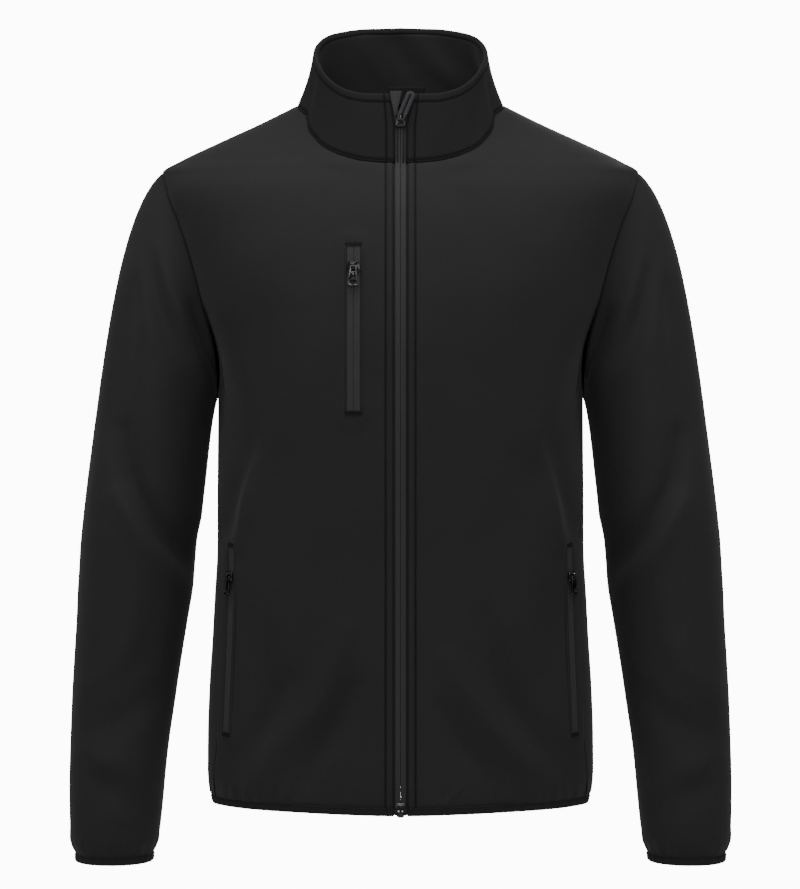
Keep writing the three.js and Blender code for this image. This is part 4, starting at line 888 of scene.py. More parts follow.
def sewn_rows(name, lines, step, along, across, high, finish):
    """lines: pairs of points along a row and the way out of the cloth there, in millimetres."""
    mesh = bpy.data.meshes.new(name + "_lines")
    points, ways, edges = [], [], []
    for line, out in lines:
        start = len(points)
        points += (np.asarray(line) * 0.001).tolist()
        ways += np.broadcast_to(out, np.shape(line)).tolist()
        edges += [(start + k, start + k + 1) for k in range(len(line) - 1)]
    mesh.from_pydata(points, edges, [])
    mesh.attributes.new("out_way", "FLOAT_VECTOR", "POINT").data.foreach_set("vector", np.ravel(ways))
    guide = bpy.data.objects.new(name + "_guide", mesh)
    bpy.context.scene.collection.objects.link(guide)
    sewing = guide.modifiers.new("sewing", "NODES")
    sewing.node_group = SEWN_ROW
    socket = {i.name: i.identifier for i in SEWN_ROW.interface.items_tree if i.in_out == "INPUT"}
    for label, value in (("Step", step), ("Along", along), ("Across", across), ("High", high)):
        sewing[socket[label]] = value * 0.001
    sewing[socket["Finish"]] = finish
    depsgraph = bpy.context.evaluated_depsgraph_get()
    made = bpy.data.meshes.new_from_object(guide.evaluated_get(depsgraph))
    made.shade_smooth()
    piece = bpy.data.objects.new(name, made)
    if not made.materials:
        made.materials.append(finish)
    bpy.context.scene.collection.objects.link(piece)
    bpy.data.objects.remove(guide)
    if "UVMap" not in made.uv_layers:
        made.uv_layers.new(name="UVMap")
    return piece


STITCH_LINES = []
BARS = []


def stitch_line(points, normals, lift=0.12):
    STITCH_LINES.append((points + unit(normals) * lift, unit(normals)))


# Body panels
# Marks along the seams and topstitch lines, as shares: the cloth finish darkens its colour there as painted shade
# in the grooves and sinks its bump.
def seam_groove_and_shade_mark(part, face):
    gaps = part["gaps"]
    mark = 0.8 * bell(gaps["outer"], 0, 0.9) + 0.7 * bell(gaps["top"], 0, 0.9)
    mark = mark + 0.8 * bell(gaps["arm"], ARMHOLE_STITCH, 0.7) * part["arm"]
    if face == "front":
        mark = mark + bell(gaps["inner"], 0, 1.0) + bell(gaps["inner"], ZIP_STITCH, 0.9)
    return np.clip(mark, 0, 1)


def sew_zip_edge(part, outer):
    gaps = part["gaps"]["inner"]
    stitch_line(line_at(outer, gaps, ZIP_STITCH), line_at(part["normal"], gaps, ZIP_STITCH))


def sew_armhole(part, outer):
    """Topstitching beside the armhole, in the rows that meet the sleeve."""
    on_arm = part["arm"][:, 0] > 0.5
    gaps = part["gaps"]["arm"][:, ::-1]
    points = line_at(outer[:, ::-1], gaps, ARMHOLE_STITCH)
    ways = line_at(part["normal"][:, ::-1], gaps, ARMHOLE_STITCH)
    stitch_line(points[on_arm], ways[on_arm])


def sew_shoulder(part, outer):
    """Topstitching behind the shoulder seam."""
    on_shoulder = part["neck"][0] < 0.5
    swap = (1, 0, 2)
    gaps = part["gaps"]["top"].T[:, ::-1]
    points = line_at(outer.transpose(swap)[:, ::-1], gaps, SHOULDER_STITCH)
    ways = line_at(part["normal"].transpose(swap)[:, ::-1], gaps, SHOULDER_STITCH)
    stitch_line(points[on_shoulder], ways[on_shoulder])


def whole_back(halves):
    """Both halves of the back as one, met at the centre."""
    return np.concatenate([halves[0][:, ::-1], halves[1][:, 1:]], axis=1)


def make_front(side):
    part = half_panel("front", side)
    outer = outer_face(part)
    name = "shell_front_left" if side == 1 else "shell_front_right"
    piece = wall(name, outer, part["normal"], SOFTSHELL, marks={"seam": seam_groove_and_shade_mark(part, "front")})
    sew_zip_edge(part, outer)
    sew_armhole(part, outer)
    return piece


def make_back():
    halves = [half_panel("back", side) for side in (1, -1)]
    faces = [outer_face(half) for half in halves]
    for half, face in zip(halves, faces):
        sew_armhole(half, face)
        sew_shoulder(half, face)
    normal = whole_back([half["normal"] for half in halves])
    seam = whole_back([seam_groove_and_shade_mark(half, "back") for half in halves])
    return wall("shell_back", whole_back(faces), normal, SOFTSHELL, marks={"seam": seam})


# Sleeves
def sleeve_section_point(angle, z):
    x, half, y, depth = (value_at(SLEEVE, "z", c, z) for c in ("x", "half", "y", "depth"))
    across = signed_power(np.cos(angle), 2 / 2.1)
    along = signed_power(np.sin(angle), 2 / 2.1)
    return np.stack(np.broadcast_arrays(x - half * across, y - depth * along, z), -1)


def cap_direction(angle):
    up, forward = np.cos(angle)[..., None], np.sin(angle)[..., None]
    direction = np.where(up > 0, CAP_START["top"], CAP_START["under"]) * up**2
    return unit(direction + np.where(forward > 0, CAP_START["front"], CAP_START["back"]) * forward**2)


def armhole_point(angle):
    full = (angle / np.pi) % 2
    front, back = ARMHOLE["front"](full), ARMHOLE["back"](2 - full)
    turn, z = (np.where(full <= 1, a, b) for a, b in zip(front, back))
    under = (np.maximum(0, -np.cos(angle)) ** 2)[..., None]
    away = cap_direction(angle) * (1 - under) + body_normal(-turn, z) * under * 1.6
    return body_point(-turn, z) + away * 0.1


def sleeve_base(angle, along):
    start, end = armhole_point(angle), sleeve_section_point(angle, np.full_like(angle, CAP_END_Z))
    length = np.linalg.norm(start - end, axis=-1, keepdims=True)
    s, leave, e, arrive = (h[..., None] for h in hermite(np.minimum(along, 1)))
    cap = s * start + e * end + leave * length * 0.53 * cap_direction(angle) + arrive * length * CAP_END
    lower = sleeve_section_point(angle, mix(CAP_END_Z, CUFF_SEAM_Z, np.maximum(along - 1, 0)))
    return np.where(along[..., None] <= 1, cap, lower)


def sleeve_normal(points):
    ring = np.concatenate([points[:, -1:], points, points[:, :1]], axis=1)
    around = ring[:, 2:] - ring[:, :-2]
    down = np.gradient(points, axis=0)
    normal = unit(np.cross(around, down))
    centre = points.mean(axis=1, keepdims=True)
    return normal * np.sign(((points - centre) * normal).sum(-1).mean())


def sleeve_part(side):
    angle = np.linspace(0, 2 * np.pi, 101)[:-1]
    along = 2 * crowded(232, 0.55)
    angle, along = np.meshgrid(angle, along)
    base = sleeve_base(angle, along)
    normal = sleeve_normal(base)
    base[0] -= ARMHOLE_TUCK * unit(base[1] - base[0])
    base[-1, :, 2] -= HEM_TUCK
    x, z = base[..., 0], base[..., 2]
    shift = 0 if side == -1 else 5
    strong = 1 if side == -1 else 0.9
    front = crease_lift(SLEEVE_FRONT_CREASES, x, z + shift)
    back = crease_lift(SLEEVE_BACK_CREASES, x, z - shift)
    facing = np.minimum(1, np.abs(normal[..., 1]) * 1.8)
    down = run_up(base) - ARMHOLE_TUCK
    cuff = down[-1:] - down - HEM_TUCK
    calm = ramp(down, 0, 16) * ramp(cuff, 0, 22)
    lift = np.where(normal[..., 1] < 0, front, back) * facing * calm * strong * SLEEVE_CREASE_DEPTH
    lift += gather_lift(uneven_gathers(252, 20, 0.5, 1.9), angle * 40, cuff, loop=252)
    under = np.abs(angle - np.pi) * 55
    lift += seam_sink(down, roll=0.6) - 0.6 * bell(under, 0, 2.5) - 0.5 * bell(cuff, 0, 1.5)
    # Seam marks round the armhole and under the arm: painted shade in their grooves, read by the cloth finish.
    seam = np.clip(0.8 * bell(down, 0, 0.8) + 0.6 * bell(under, 0, 1.3), 0, 1)
    outer = base + normal * lift[..., None]
    if side == 1:
        outer, normal = mirrored(outer), mirrored(normal)
    return outer, normal, seam


def make_sleeve(side):
    outer, normal, seam = sleeve_part(side)
    name = "shell_sleeve_left" if side == 1 else "shell_sleeve_right"
    return wall(name, outer, normal, SOFTSHELL, loop=True, marks={"seam": seam})


# Elastic bands
def band_section(tall):
    """Depth in and drop of a folded elastic band, round its section."""
    return [(0.5, 0), (-0.15, 0.5), (-0.5, 1.6), (-0.6, tall * 0.5), (-0.5, tall - 1.6), (-0.1, tall - 0.5),
            (0.8, tall), (1.6, tall - 0.4), (2.1, tall - 1.6), (2.1, tall * 0.5), (2.0, 1.6), (1.5, 0.3)]


def make_hem_binding():
    front = np.stack(panel_hem(crowded(150, 0.2) * (1 - 0.0005) + 0.0005, "front"), -1)
    back = np.stack(panel_hem(crowded(120, 0.2), "back"), -1)[::-1]
    half = np.concatenate([front, back[1:]])
    other = (half * [-1, 1])[:-1][::-1]
    turn, z = np.concatenate([half, other]).T
    run = np.concatenate([[0], np.cumsum(np.linalg.norm(np.diff(body_point(turn, z), axis=0), axis=1))])
    pucker = 0.3 * np.sin(run * 0.55 + 1.3 * np.sin(run * 0.06)) * (0.6 + 0.4 * np.sin(run * 0.021))
    rings = []
    for depth, drop in band_section(HEM_BAND - SEAM):
        level = z - SEAM - drop
        inward = depth + (pucker if depth < 1 else 0)
        inward = np.broadcast_to(inward, turn.shape)[:, None]
        rings.append(body_point(turn, level) - body_normal(turn, level) * inward)
    top = rings[2] + body_normal(turn, z) * 0.1
    stitch_line(top, body_normal(turn, z), 0.05)
    return sweep("hem_binding", np.stack(rings, 1), BINDING)


def make_cuff_binding(side):
    angle = np.linspace(0, 2 * np.pi, 161)[:-1]
    pucker = 0.28 * np.sin(angle * 23 + 1.4 * np.sin(angle * 3))
    normal = np.stack([-np.cos(angle), -np.sin(angle), 0 * angle], -1)
    rings = []
    for depth, drop in band_section(CUFF_BAND - SEAM):
        inward = depth + (pucker if depth < 1 else 0)
        level = np.full_like(angle, CUFF_SEAM_Z - SEAM - drop)
        rings.append(sleeve_section_point(angle, level) - normal * np.broadcast_to(inward, angle.shape)[:, None])
    rings = np.stack(rings, 1)
    if side == 1:
        rings, normal = mirrored(rings), mirrored(normal)
    around = np.arange(len(angle) + 1) % len(angle)
    stitch_line((rings[:, 2] + normal * 0.1)[around], normal[around], 0.05)
    name = "cuff_binding_left" if side == 1 else "cuff_binding_right"
    return sweep(name, rings, BINDING, ends=False)


# Collar
RIM = {"half": 84, "middle": -8, "depth": 67.5}
RIM_HEIGHTS = columns("angle z", [
    (0, 0), (22, 1), (38, 6), (52, 15.5), (72, 34), (90, 50), (108, 62.5), (120, 69.3), (136, 75.3),
    (155, 80), (180, 82),
])
OPEN_STRETCH = columns("height share", [(0, 0), (0.5, 0.02), (0.75, 0.5), (1, 1)])


def collar_course():
    """Feet and rim points from the wearer's left front edge round the back to the right front edge."""
    t = crowded(130, 0.35)
    margin = SEAM / 2 / 290
    front = np.stack(NECK_EDGE["front"](mix(margin, 1, t)), -1)
    back = np.stack(NECK_EDGE["back"](t), -1)[::-1]
    half = np.concatenate([front, back[1:]])
    foot = body_point(*half.T) + [0, 0, SEAM]
    angle = np.arctan2(foot[:, 0], -(foot[:, 1] - RIM["middle"]))
    top = np.stack([RIM["half"] * np.sin(angle), RIM["middle"] - RIM["depth"] * np.cos(angle),
                    value_at(RIM_HEIGHTS, "angle", "z", np.degrees(angle))], -1)
    return tuple(np.concatenate([p, mirrored(p[:-1])[::-1]]) for p in (foot, top))


def collar_points(foot, top, height):
    height = np.broadcast_to(height, foot.shape[:1])
    point = mix(foot, top, height[:, None])
    side = np.sign(foot[:, 0])
    spread = np.where(side > 0, RIM_SPREAD[1], RIM_SPREAD[-1])
    away = np.abs(foot[:, 0]) - FRONT_EDGE
    share = value_at(OPEN_STRETCH, "height", "share", height)
    edge = mix(FRONT_EDGE, spread, share)
    is_front = (away < 40) & (foot[:, 1] < RIM["middle"])
    point[:, 0] += side * (edge - np.abs(point[:, 0])) * bell(away, 0, 14) * is_front
    pinch = 2.2 * np.sin(np.pi * height) * np.abs(foot[:, 0]) / 98
    plan = unit((point - [0, RIM["middle"], 0]) * [1, 1, 0])
    return point - plan * pinch[:, None]


def collar_normals(foot, top):
    middle = collar_points(foot, top, 0.4)
    along = np.gradient(middle, axis=0)
    normal = unit(np.cross(along, collar_points(foot, top, 1.0) - collar_points(foot, top, 0.0)))
    way = np.sign((((foot - [0, RIM["middle"], 0]) * [1, 1, 0]) * normal).sum(-1))
    return normal * way[:, None]


# Soft folds of the collar: from and to as (run from the left front edge, rise), reach, lift
COLLAR_FOLDS = [
    ([(70, 8), (84, 34), (92, 60)], 12, -0.9),
    ([(330, 10), (318, 36), (312, 60)], 12, -0.9),
    ([(30, 12), (40, 44)], 12, 0.7),
    ([(372, 14), (362, 44)], 12, 0.7),
    ([(150, 8), (190, 22), (236, 8)], 10, -0.9),
]
LINING_FOLDS = [
    ([(116, 14), (138, 36), (152, 58)], 10, 2.2),
    ([(132, 10), (156, 30), (176, 52)], 9, -1.8),
    ([(160, 14), (196, 34), (226, 44)], 12, 1.8),
    ([(206, 12), (232, 30), (246, 52)], 10, -1.8),
    ([(252, 12), (262, 34), (276, 56)], 10, 2.0),
    ([(286, 12), (300, 34), (306, 56)], 10, -1.4),
    ([(76, 16), (92, 40)], 12, -1.3),
]


def collar_face(foot, top, normal, heights, depth, folds):
    """One face of the collar: rows of points at heights given as shares and millimetres."""
    tall = np.linalg.norm(top - foot, axis=-1)
    run = np.concatenate([[0], np.cumsum(np.linalg.norm(np.diff(mix(foot, top, 0.5), axis=0), axis=1))])
    rows = []
    for (share, extra), inward in zip(heights, depth):
        height = share + extra / tall
        lift = crease_lift(folds, run, height * tall) * ramp(height, 0, 0.15) * ramp(height, 1, 0.82)
        rows.append(collar_points(foot, top, height) + normal * (lift - inward)[:, None])
    return np.array(rows)


def make_collar():
    foot, top = collar_course()
    normal = collar_normals(foot, top)
    shares = np.linspace(0, 1, 56)[:-1]
    rim = [(-2.6, 0), (-1.5, 0.25), (-0.7, 0.8), (-0.2, 1.3), (0, 2), (-0.2, 2.8), (-0.7, 3.6), (-1.5, 4.3),
           (-2.6, 4.7), (-4.4, 4.8), (-5.8, 4.6), (-6.3, 4.0)]
    out = [((s, -2.6 * s), 0.0) for s in shares] + [((1, r), d) for r, d in rim]
    inside = [((1, -6.4), 1.6)] + [((s, -6.4 * s), 1.6) for s in shares[::-5]]
    heights, depth = zip(*(out + inside))
    face = collar_face(foot, top, normal, heights, depth, COLLAR_FOLDS)
    tall = np.linalg.norm(top - foot, axis=-1)
    rise = np.array([share * tall + extra for share, extra in heights])
    outside = (np.arange(len(heights)) < len(out))[:, None]
    across = run_across(face[:1])[0]
    from_zip = np.minimum(across, across[-1] - across)[None, :]
    # The collar's seam and topstitch lines: they sink the cloth a little, and as seam marks they darken its
    # colour as painted shade in the grooves.
    line = bell(from_zip, ZIP_STITCH, 1.0) + bell(rise, COLLAR_FOOT_STITCH, 1.1)
    line = line + bell(rise, tall - COLLAR_RIM_STITCH, 1.1) + 0.8 * bell(from_zip, 0, 1.0)
    line = np.clip(line * outside, 0, 1)
    face -= normal[None] * (0.4 * line)[..., None]
    face[0] -= [0, 0, 1.2]
    marks = {"seam": line.T.ravel()}
    piece = sweep("collar_shell", face.transpose(1, 0, 2), COLLAR_SHADED_SHELL, marks=marks)
    for height, extra in ((0, COLLAR_FOOT_STITCH), (1, -COLLAR_RIM_STITCH)):
        line = collar_face(foot, top, normal, [(height, extra)], [0.0], COLLAR_FOLDS)[0]
        stitch_line(line[3:-3], normal[3:-3])
    for end in (7, -8):
        heights = [(share, 0) for share in np.linspace(0.02, 0.93, 30)]
        shut = collar_face(foot, top, normal, heights, [0.0] * 30, COLLAR_FOLDS)
        stitch_line(shut[:, end], np.broadcast_to(normal[end], (30, 3)))
    facing = [((s, mix(-5, -6.2, s)), 2.6) for s in np.linspace(0, 1, 20)]
    facing += [((s, mix(-5, -6.2, s)), 4.3) for s in np.linspace(1, 0, 20)]
    heights, depth = zip(*facing)
    face = collar_face(foot, top, normal, heights, depth, LINING_FOLDS)
    line = collar_face(foot, top, normal, [(1, -5)], [4.85], LINING_FOLDS)[0]
    stitch_line(line[3:-3], -normal[3:-3])
    return piece, sweep("collar_lining", face.transpose(1, 0, 2), COLLAR_KNIT)


# Main zip
def rim_front():
    return np.array([0, RIM["middle"] - RIM["depth"], RIM_HEIGHTS["z"][0]], float)


def zip_course(side):
    """Centre points of the zip, and how far this side's tape has moved out, from the hem up."""
    z = np.linspace(float(hem_height(0)) - HEM_BAND + 1, -69, 150)
    body = body_point(0.0, z)
    foot = body_point(0.0, NECK_FRONT_Z)
    heights = np.linspace(0.05, 0.97, 34)[:, None]
    share = value_at(OPEN_STRETCH, "height", "share", heights[:, 0])
    centre = np.concatenate([body, mix(foot, rim_front(), heights)])
    shift = np.concatenate([0 * z, (RIM_SPREAD[side] - FRONT_EDGE) * share])
    return centre, shift


TAPE_SECTION = [
    # x from the centre, depth in
    (0.03, 1.5), (0.12, 0.9), (0.45, 0.45), (1.2, 0.25), (1.9, 0.35), (2.2, 0.6), (2.5, 0.62), (4.2, 0.6),
    (4.8, 0.85), (5.2, 1.9), (9, 1.95), (9, 2.8), (2.4, 2.7), (0.4, 2.2),
]


def zip_ways(centre):
    """The ways up and out along the zip."""
    rise = unit(np.gradient(centre, axis=0))
    return rise, np.stack([np.zeros(len(rise)), -rise[:, 2], rise[:, 1]], -1)


def make_zip_tape(side):
    centre, shift = zip_course(side)
    out = zip_ways(centre)[1]
    rings = []
    for x, depth in TAPE_SECTION:
        across = np.stack([side * (x + shift), 0 * shift, 0 * shift], -1)
        rings.append(centre + across - out * depth)
    name = "tape_left" if side == 1 else "tape_right"
    return sweep(name, np.stack(rings, 1), TAPE)


def make_zip_coils():
    """The zip's coils on the inner side of its tapes, closed below the slider and parted above it."""
    lines = []
    centre = zip_course(1)[0]
    rise, out = zip_ways(centre)
    for side in (1, -1):
        moved = zip_course(side)[1]
        across = np.stack([side * (0.9 + moved), 0 * moved, 0 * moved], -1)
        step = 0.65 if side == 1 else 0.0
        lines.append((centre + across - out * 2.4 + rise * step, out))
    return sewn_rows("zip_coils", lines, 1.3, 0.75, 3.4, 1.2, TAPE)


def zip_seat():
    foot, top = body_point(0.0, NECK_FRONT_Z), rim_front()
    rise = unit(top - foot)
    out = unit(np.array([0, -rise[2], rise[1]]))
    return {"point": mix(foot, top, 0.62) + out * (SEAM - 0.5), "rise": rise, "out": out}


def placed(points, seat):
    """Puts points drawn flat (across, up, out) on their seat."""
    out = unit(np.asarray(seat["out"], float))
    across = unit(np.cross(seat["rise"], out))
    up = np.cross(out, across)
    points = np.asarray(points, float)
    return seat["point"] + points[..., :1] * across + points[..., 1:2] * up + points[..., 2:] * out


GUARD = columns("rise left right", [
    (3.2, -4.7, -4.5), (5, -5.6, -3.9), (12, -7.3, -2.1), (20, -9.2, -0.3), (24, -9.7, 0.6), (28, -10.2, 1.4),
])


def make_zip_guard():
    rise = np.linspace(3.2, 28, 30)[:, None]
    t = np.linspace(0, 1, 12)[None, :]
    left, right = (value_at(GUARD, "rise", c, rise) for c in ("left", "right"))
    x = mix(left, right, t)
    swell = 0.85 + 0.35 * np.sin(np.pi * t) * ramp(rise, 3, 12)
    points = np.stack(np.broadcast_arrays(x, rise + 0 * t, swell), -1)
    seat = zip_seat()
    normal = np.broadcast_to(seat["out"], points.shape)
    return wall("zip_guard_flap", placed(points, seat), normal, TAPE, thickness=0.9)


def make_pull_loop():
    """The main slider's pull: a doubled ribbed cord, turned up over the collar's edge."""
    seat = zip_seat()
    hinge = {**seat, "point": seat["point"] + seat["out"] * 3.65}
    t = np.linspace(0, 1, 300)[:-1]
    length, half = 27.2, 2.45
    straight = length - half
    lap = 2 * straight + 2 * math.pi * half
    s = t * lap
    x, y = np.zeros_like(s), np.zeros_like(s)
    for k, here in enumerate(s):
        if here < straight:
            x[k], y[k] = half, here
        elif here < straight + math.pi * half:
            a = (here - straight) / half
            x[k], y[k] = half * math.cos(a), straight + half * math.sin(a)
        elif here < 2 * straight + math.pi * half:
            x[k], y[k] = -half, 2 * straight + math.pi * half - here
        else:
            a = (here - 2 * straight - math.pi * half) / half
            x[k], y[k] = -half * math.cos(a), -0.3 * half * math.sin(a)
    sway = -0.5 - 0.55 * ramp(y, 3, 9)
    path = np.stack([x, y, sway], -1)
    lean = math.radians(-22)
    cos, sin = math.cos(lean), math.sin(lean)
    course = placed(path @ np.array([[cos, sin, 0], [-sin, cos, 0], [0, 0, 1]]), hinge)
    way = unit(np.roll(course, -1, 0) - np.roll(course, 1, 0))
    side = unit(np.cross(way, seat["out"]))
    thin = mix(0.55, 1.0, ramp(y, 1.5, 7))
    rings = []
    for a in np.linspace(0, 2 * np.pi, 13)[:-1]:
        rib = 1 + 0.09 * np.cos(3 * a - s * 2.6)
        wide, deep = 2.05 * thin * rib, 1.35 * thin * rib
        rings.append(course + side * (wide * np.cos(a))[:, None] + seat["out"] * (deep * np.sin(a))[:, None])
    return sweep("pull_loop", np.stack(rings, 1), CORD, ends=False)


# Pocket zips
def pocket_frame(pocket, t, lift):
    """Points on a pocket's line, with the ways up and out."""
    def at(t, lift):
        x = pocket["side"] * mix(pocket["top"][0], pocket["bottom"][0], t)
        z = mix(pocket["top"][1], pocket["bottom"][1], t)
        turn = turn_at_x(x, z)
        normal = body_normal(turn, z)
        return body_point(turn, z) + normal * (body_lift(turn, z) + lift)[:, None], normal
    point, out = at(t, lift)
    rise = unit(at(t - 0.02, lift)[0] - at(t + 0.02, lift)[0])
    across = unit(np.cross(rise, out))
    return point, across, unit(out), rise


def make_pocket_tape(name, pocket):
    half = pocket["half"]
    point, across, out, _ = pocket_frame(pocket, np.linspace(0, 1, 90), 0.8)
    section = [
        (-half, 0), (half, 0), (half, 0.9), (half - 0.6, 1.1), (1.6, 1.1), (0.8, 1.0), (0.35, 0.75),
        (0, 0.35), (-0.35, 0.75), (-0.8, 1.0), (-1.6, 1.1), (-half + 0.6, 1.1), (-half, 0.9),
    ]
    rings = [point + across * x + out * y for x, y in section]
    return sweep(name, np.stack(rings, 1), TAPE)


def make_pocket_lips(name, pocket):
    """Folded edges of cloth on both sides of a pocket's zip and across its ends."""
    half = pocket["half"]
    length = abs(pocket["top"][1] - pocket["bottom"][1])
    over = 3.4 / length
    section = [
        (0.35, 0.4), (0.4, 1.6), (0.65, 2.05), (1.1, 2.25), (1.7, 2.1), (2.1, 1.85), (2.6, 1.95),
        (3.3, 1.55), (4.2, 0.9), (2.4, 0.3),
    ]
    pieces = []
    t = np.linspace(-over, 1 + over, 70)
    point, across, out, _ = pocket_frame(pocket, t, 0.0)
    close = ramp(np.minimum(t + over, 1 + over - t) * length, 0, 7)
    for way in (1, -1):
        rings = []
        for away, high in section:
            tall = high * mix(0.35, 1, close)
            rings.append(point + across * (way * (half + away)) + out * np.reshape(tall, (-1, 1)))
        pieces.append(sweep(name + "_side", np.stack(rings, 1), SOFTSHELL))
        line = point + across * (way * (half + 2.1)) + out * (1.95 * close)[:, None]
        stitch_line(line[3:-3], out[3:-3])
    for end, sign in ((0.0, -1), (1.0, 1)):
        x = np.linspace(-half - 3.2, half + 3.2, 24)
        centre, side, way_out, rise = (v[0] for v in pocket_frame(pocket, np.array([end]), 0.0))
        rings = []
        calm = ramp(half + 3.2 - np.abs(x), 0, 3)
        for away, high in section:
            high = high * mix(0.3, 1, calm)
            offset = -rise * sign * (away * 0.62 - 1.6)
            rings.append(centre + side * x[:, None] + offset + way_out * np.reshape(high, (-1, 1)))
        pieces.append(sweep(name + "_end", np.stack(rings, 1), SOFTSHELL))
        for k in (0.6, 2.6):
            bar = centre + side * x[:, None] - rise * sign * k + way_out * (2.0 * calm + 0.25)[:, None]
            BARS.append((bar, way_out))
    return joined(name, pieces)


def joined(name, pieces):
    """One piece from several meshes."""
    merged = bmesh.new()
    for piece in pieces:
        merged.from_mesh(piece.data)
    mesh = bpy.data.meshes.new(name)
    merged.to_mesh(mesh)
    merged.free()
    mesh.materials.append(pieces[0].data.materials[0])
    for piece in pieces:
        bpy.data.objects.remove(piece)
    whole = bpy.data.objects.new(name, mesh)
    bpy.context.scene.collection.objects.link(whole)
    return whole


# Foot of the main zip
def make_rivet(place, seat):
    angle = np.linspace(0, 2 * np.pi, 41)[:-1]
    rings = []
    for share, level in ((1, 1.3), (0.97, 1.75), (0.75, 2.15), (0.4, 2.35), (0.08, 2.42)):
        reach = 0.95 * share
        x, y = place + reach * np.cos(angle), -0.2 + reach * np.sin(angle)
        rings.append(placed(np.stack([x, y, np.full_like(x, level)], -1), seat))
    return sweep("retainer_rivet", np.array(rings), NICKEL)


def make_zip_retainer():
    """The box's lower half with its two rivets, below the moulded box."""
    seat = {
        "point": body_point(0.0, -669.5) + np.array([0, -0.4, 0]),
        "rise": np.array([0, 0, 1.0]),
        "out": np.array([0, -1.0, 0]),
    }
    wide, tall = 3.7, 6.3
    angle = np.linspace(0, 2 * np.pi, 41)[:-1]
    x, y = wide * signed_power(np.cos(angle), 0.45), tall * signed_power(np.sin(angle), 0.45)
    rings = []
    for inset, level in ((0.3, -1.6), (0, -1.2), (0, 0.9), (0.25, 1.35), (0.7, 1.6)):
        ring = np.stack([x * (1 - inset / wide), y * (1 - inset / tall), np.full_like(x, level)], -1)
        rings.append(placed(ring, seat))
    plate = sweep("retainer_plate", np.array(rings), MOULDED)
    rivets = [make_rivet(place, seat) for place in (-1.75, 1.75)]
    return joined("zip_retainer", [plate]), joined("zip_rivets", rivets)


# Label in the neck
def make_neck_tag():
    x, z = np.meshgrid(np.linspace(-17.5, 17.5, 36), np.linspace(-9, 9, 20))
    bow = 0.35 * np.cos(x / 17.5 * 1.4) - 0.25 * bell(np.abs(z), 9, 1.2)
    points = np.stack([6 + x, 50 - 0.8 - bow, 13.5 + z], -1)
    normal = np.broadcast_to(np.array([0.0, -1, 0]), points.shape)
    return wall("neck_tag", points, normal, LABEL, thickness=0.7)


# Hard parts: the frame's own shapes with their edges eased
def eased(name, source, finish, ease=0.00022):
    shape = bmesh.new()
    shape.from_mesh(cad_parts[source].data)
    bmesh.ops.remove_doubles(shape, verts=shape.verts, dist=1e-6)
    bmesh.ops.dissolve_limit(shape, angle_limit=0.02, verts=shape.verts, edges=shape.edges)
    sharp = [e for e in shape.edges if len(e.link_faces) == 2 and e.calc_face_angle(0) > 0.5]
    bmesh.ops.bevel(shape, geom=sharp, offset=ease, segments=2, affect="EDGES", clamp_overlap=True)
    mesh = bpy.data.meshes.new(name)
    shape.to_mesh(mesh)
    shape.free()
    mesh.shade_smooth()
    mesh.materials.append(finish)
    piece = bpy.data.objects.new(name, mesh)
    bpy.context.scene.collection.objects.link(piece)
    return piece


# Building, and hanging each piece on its body while hiding the frame's parts that it replaces
def on_jacket(piece, slot, *nodes):
    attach(piece, "jacket")
    if nodes:
        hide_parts(*nodes)
    return piece


fronts = {side: make_front(side) for side in (1, -1)}
back = make_back()
sleeves = {side: make_sleeve(side) for side in (1, -1)}
collar, lining = make_collar()
hem = make_hem_binding()
cuffs = {side: make_cuff_binding(side) for side in (1, -1)}
tapes = {side: make_zip_tape(side) for side in (1, -1)}
coils = make_zip_coils()
guard = make_zip_guard()
pull_loop = make_pull_loop()
pocket_tapes = {name: make_pocket_tape(name + "_tape", pocket) for name, pocket in POCKETS.items()}
pocket_lips = {name: make_pocket_lips(name + "_lips", pocket) for name, pocket in POCKETS.items()}
retainer, rivets = make_zip_retainer()
tag = make_neck_tag()
stitching = sewn_rows("topstitching", STITCH_LINES, 2.9, 2.3, 0.55, 0.4, THREAD)
bars = sewn_rows("bar_tacks", BARS, 0.5, 0.42, 1.3, 0.5, BAR_TACK_SHADE_THREAD)

on_jacket(fronts[1], "shell", "front_left")
on_jacket(fronts[-1], "shell", "front_right")
on_jacket(back, "shell", "back")
on_jacket(sleeves[1], "shell", "sleeve_left")
on_jacket(sleeves[-1], "shell", "sleeve_right")
on_jacket(collar, "shell", "collar_outer")
on_jacket(lining, "collar_lining", "collar_inner")
on_jacket(hem, "binding", "hem_band")
on_jacket(cuffs[1], "binding", "cuff_band_left")
on_jacket(cuffs[-1], "binding", "cuff_band_right")
on_jacket(tapes[1], "zip_tape", "zip_tape_left")
on_jacket(tapes[-1], "zip_tape", "zip_tape_right")
on_jacket(guard, "zip_tape", "zip_guard")
on_jacket(pocket_tapes["chest"], "zip_tape", "chest_zip")
on_jacket(pocket_tapes["hand_right"], "zip_tape", "hand_zip_right")
on_jacket(pocket_tapes["hand_left"], "zip_tape", "hand_zip_left")
on_jacket(tag, "label", "neck_label")
on_jacket(coils, "zip_tape")
on_jacket(retainer, "moulded")
on_jacket(rivets, "moulded")
on_jacket(stitching, "shell")
on_jacket(bars, "shell")
for lips in pocket_lips.values():
    on_jacket(lips, "shell")
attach(pull_loop, "main_tab")
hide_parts("main_pull")
HARD = {
    "main_slider": "jacket", "chest_slider": "jacket",
    "hand_right_slider": "jacket", "hand_left_slider": "jacket",
    "chest_pull": "chest_tab", "hand_right_pull": "hand_right_tab", "hand_left_pull": "hand_left_tab",
}
for source, body in HARD.items():
    piece = eased(source + "_eased", source, ENAMEL)
    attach(piece, body)
    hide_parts(source)
on_jacket(eased("zip_box_eased", "zip_box", MOULDED), "moulded", "zip_box")


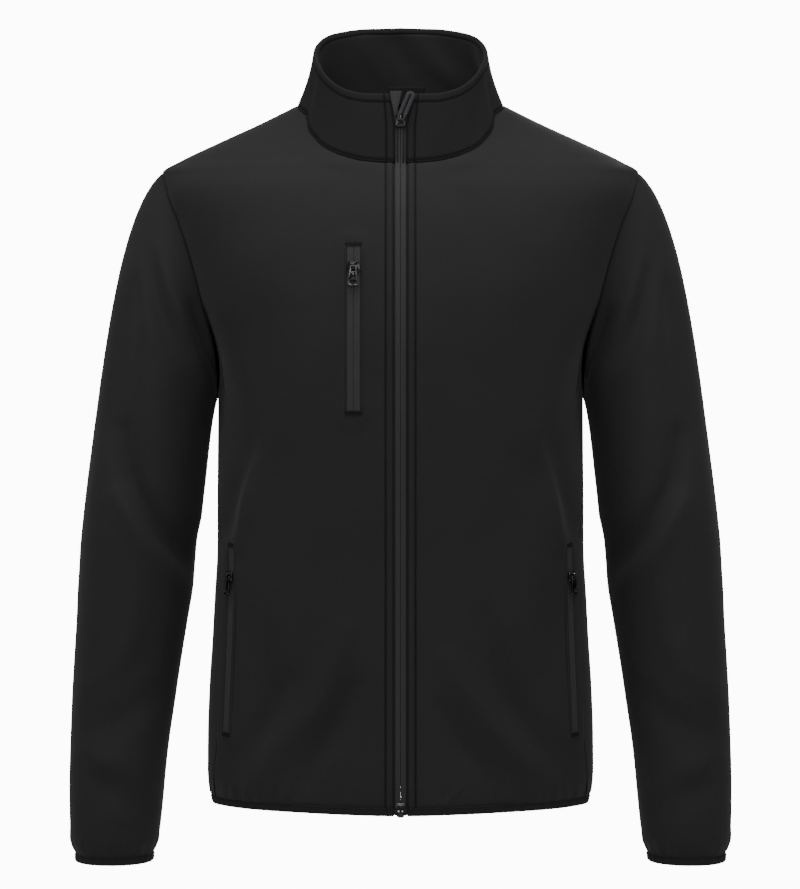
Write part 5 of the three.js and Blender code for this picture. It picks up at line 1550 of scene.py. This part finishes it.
# Floor, light and surroundings
def make_floor():
    ring = np.linspace(0, 2 * np.pi, 97)[:-1]
    edge = np.stack([2600 * np.cos(ring), 2600 * np.sin(ring), np.full(96, -1450.0)], -1)
    made, tree, shader = new_finish("pale_floor", 0.8)
    place = tree.nodes.new("ShaderNodeTexCoord")
    worn = place_group(tree, WORN, place.outputs["Object"], Size=2.0, Amount=0.05)
    tinted(tree, (0.82, 0.82, 0.82), [worn.outputs["Shade"]], shader)
    floor = new_piece("floor", edge, [list(range(96))], made, smooth=False)


def soft_light(name, place, target, size, power):
    lamp = bpy.data.lights.new(name, "AREA")
    lamp.shape = "RECTANGLE"
    lamp.size, lamp.size_y = size
    lamp.energy = power
    holder = bpy.data.objects.new(name, lamp)
    holder.location = place
    holder.rotation_euler = (Vector(target) - Vector(place)).to_track_quat("-Z", "Y").to_euler()
    bpy.context.scene.collection.objects.link(holder)


def make_surroundings():
    world = bpy.data.worlds.new("surroundings")
    world.use_nodes = True
    tree = world.node_tree
    tree.nodes.clear()
    seen, lit = tree.nodes.new("ShaderNodeBackground"), tree.nodes.new("ShaderNodeBackground")
    seen.inputs["Color"].default_value = (1, 1, 1, 1)
    seen.inputs["Strength"].default_value = 12.0
    lit.inputs["Color"].default_value = (0.95, 0.97, 1, 1)
    lit.inputs["Strength"].default_value = 0.12
    path, mixer = tree.nodes.new("ShaderNodeLightPath"), tree.nodes.new("ShaderNodeMixShader")
    out = tree.nodes.new("ShaderNodeOutputWorld")
    tree.links.new(path.outputs["Is Camera Ray"], mixer.inputs[0])
    tree.links.new(lit.outputs[0], mixer.inputs[1])
    tree.links.new(seen.outputs[0], mixer.inputs[2])
    tree.links.new(mixer.outputs[0], out.inputs[0])
    bpy.context.scene.world = world


make_floor()
make_surroundings()
soft_light("overhead", (0, -0.7, 1.7), (0, 0, -0.2), (2.4, 1.6), 42)
soft_light("front", (-0.15, -2.9, 0.8), (0, 0, -0.4), (1.2, 1.2), 27)
soft_light("side_left", (2.3, -0.9, 0.3), (0.2, 0, -0.35), (1.0, 1.8), 9)
soft_light("side_right", (-2.3, -0.9, 0.3), (-0.2, 0, -0.35), (1.0, 1.8), 10)
soft_light("behind", (0.5, 2.8, 1.0), (0, 0, -0.35), (2.0, 1.6), 46)
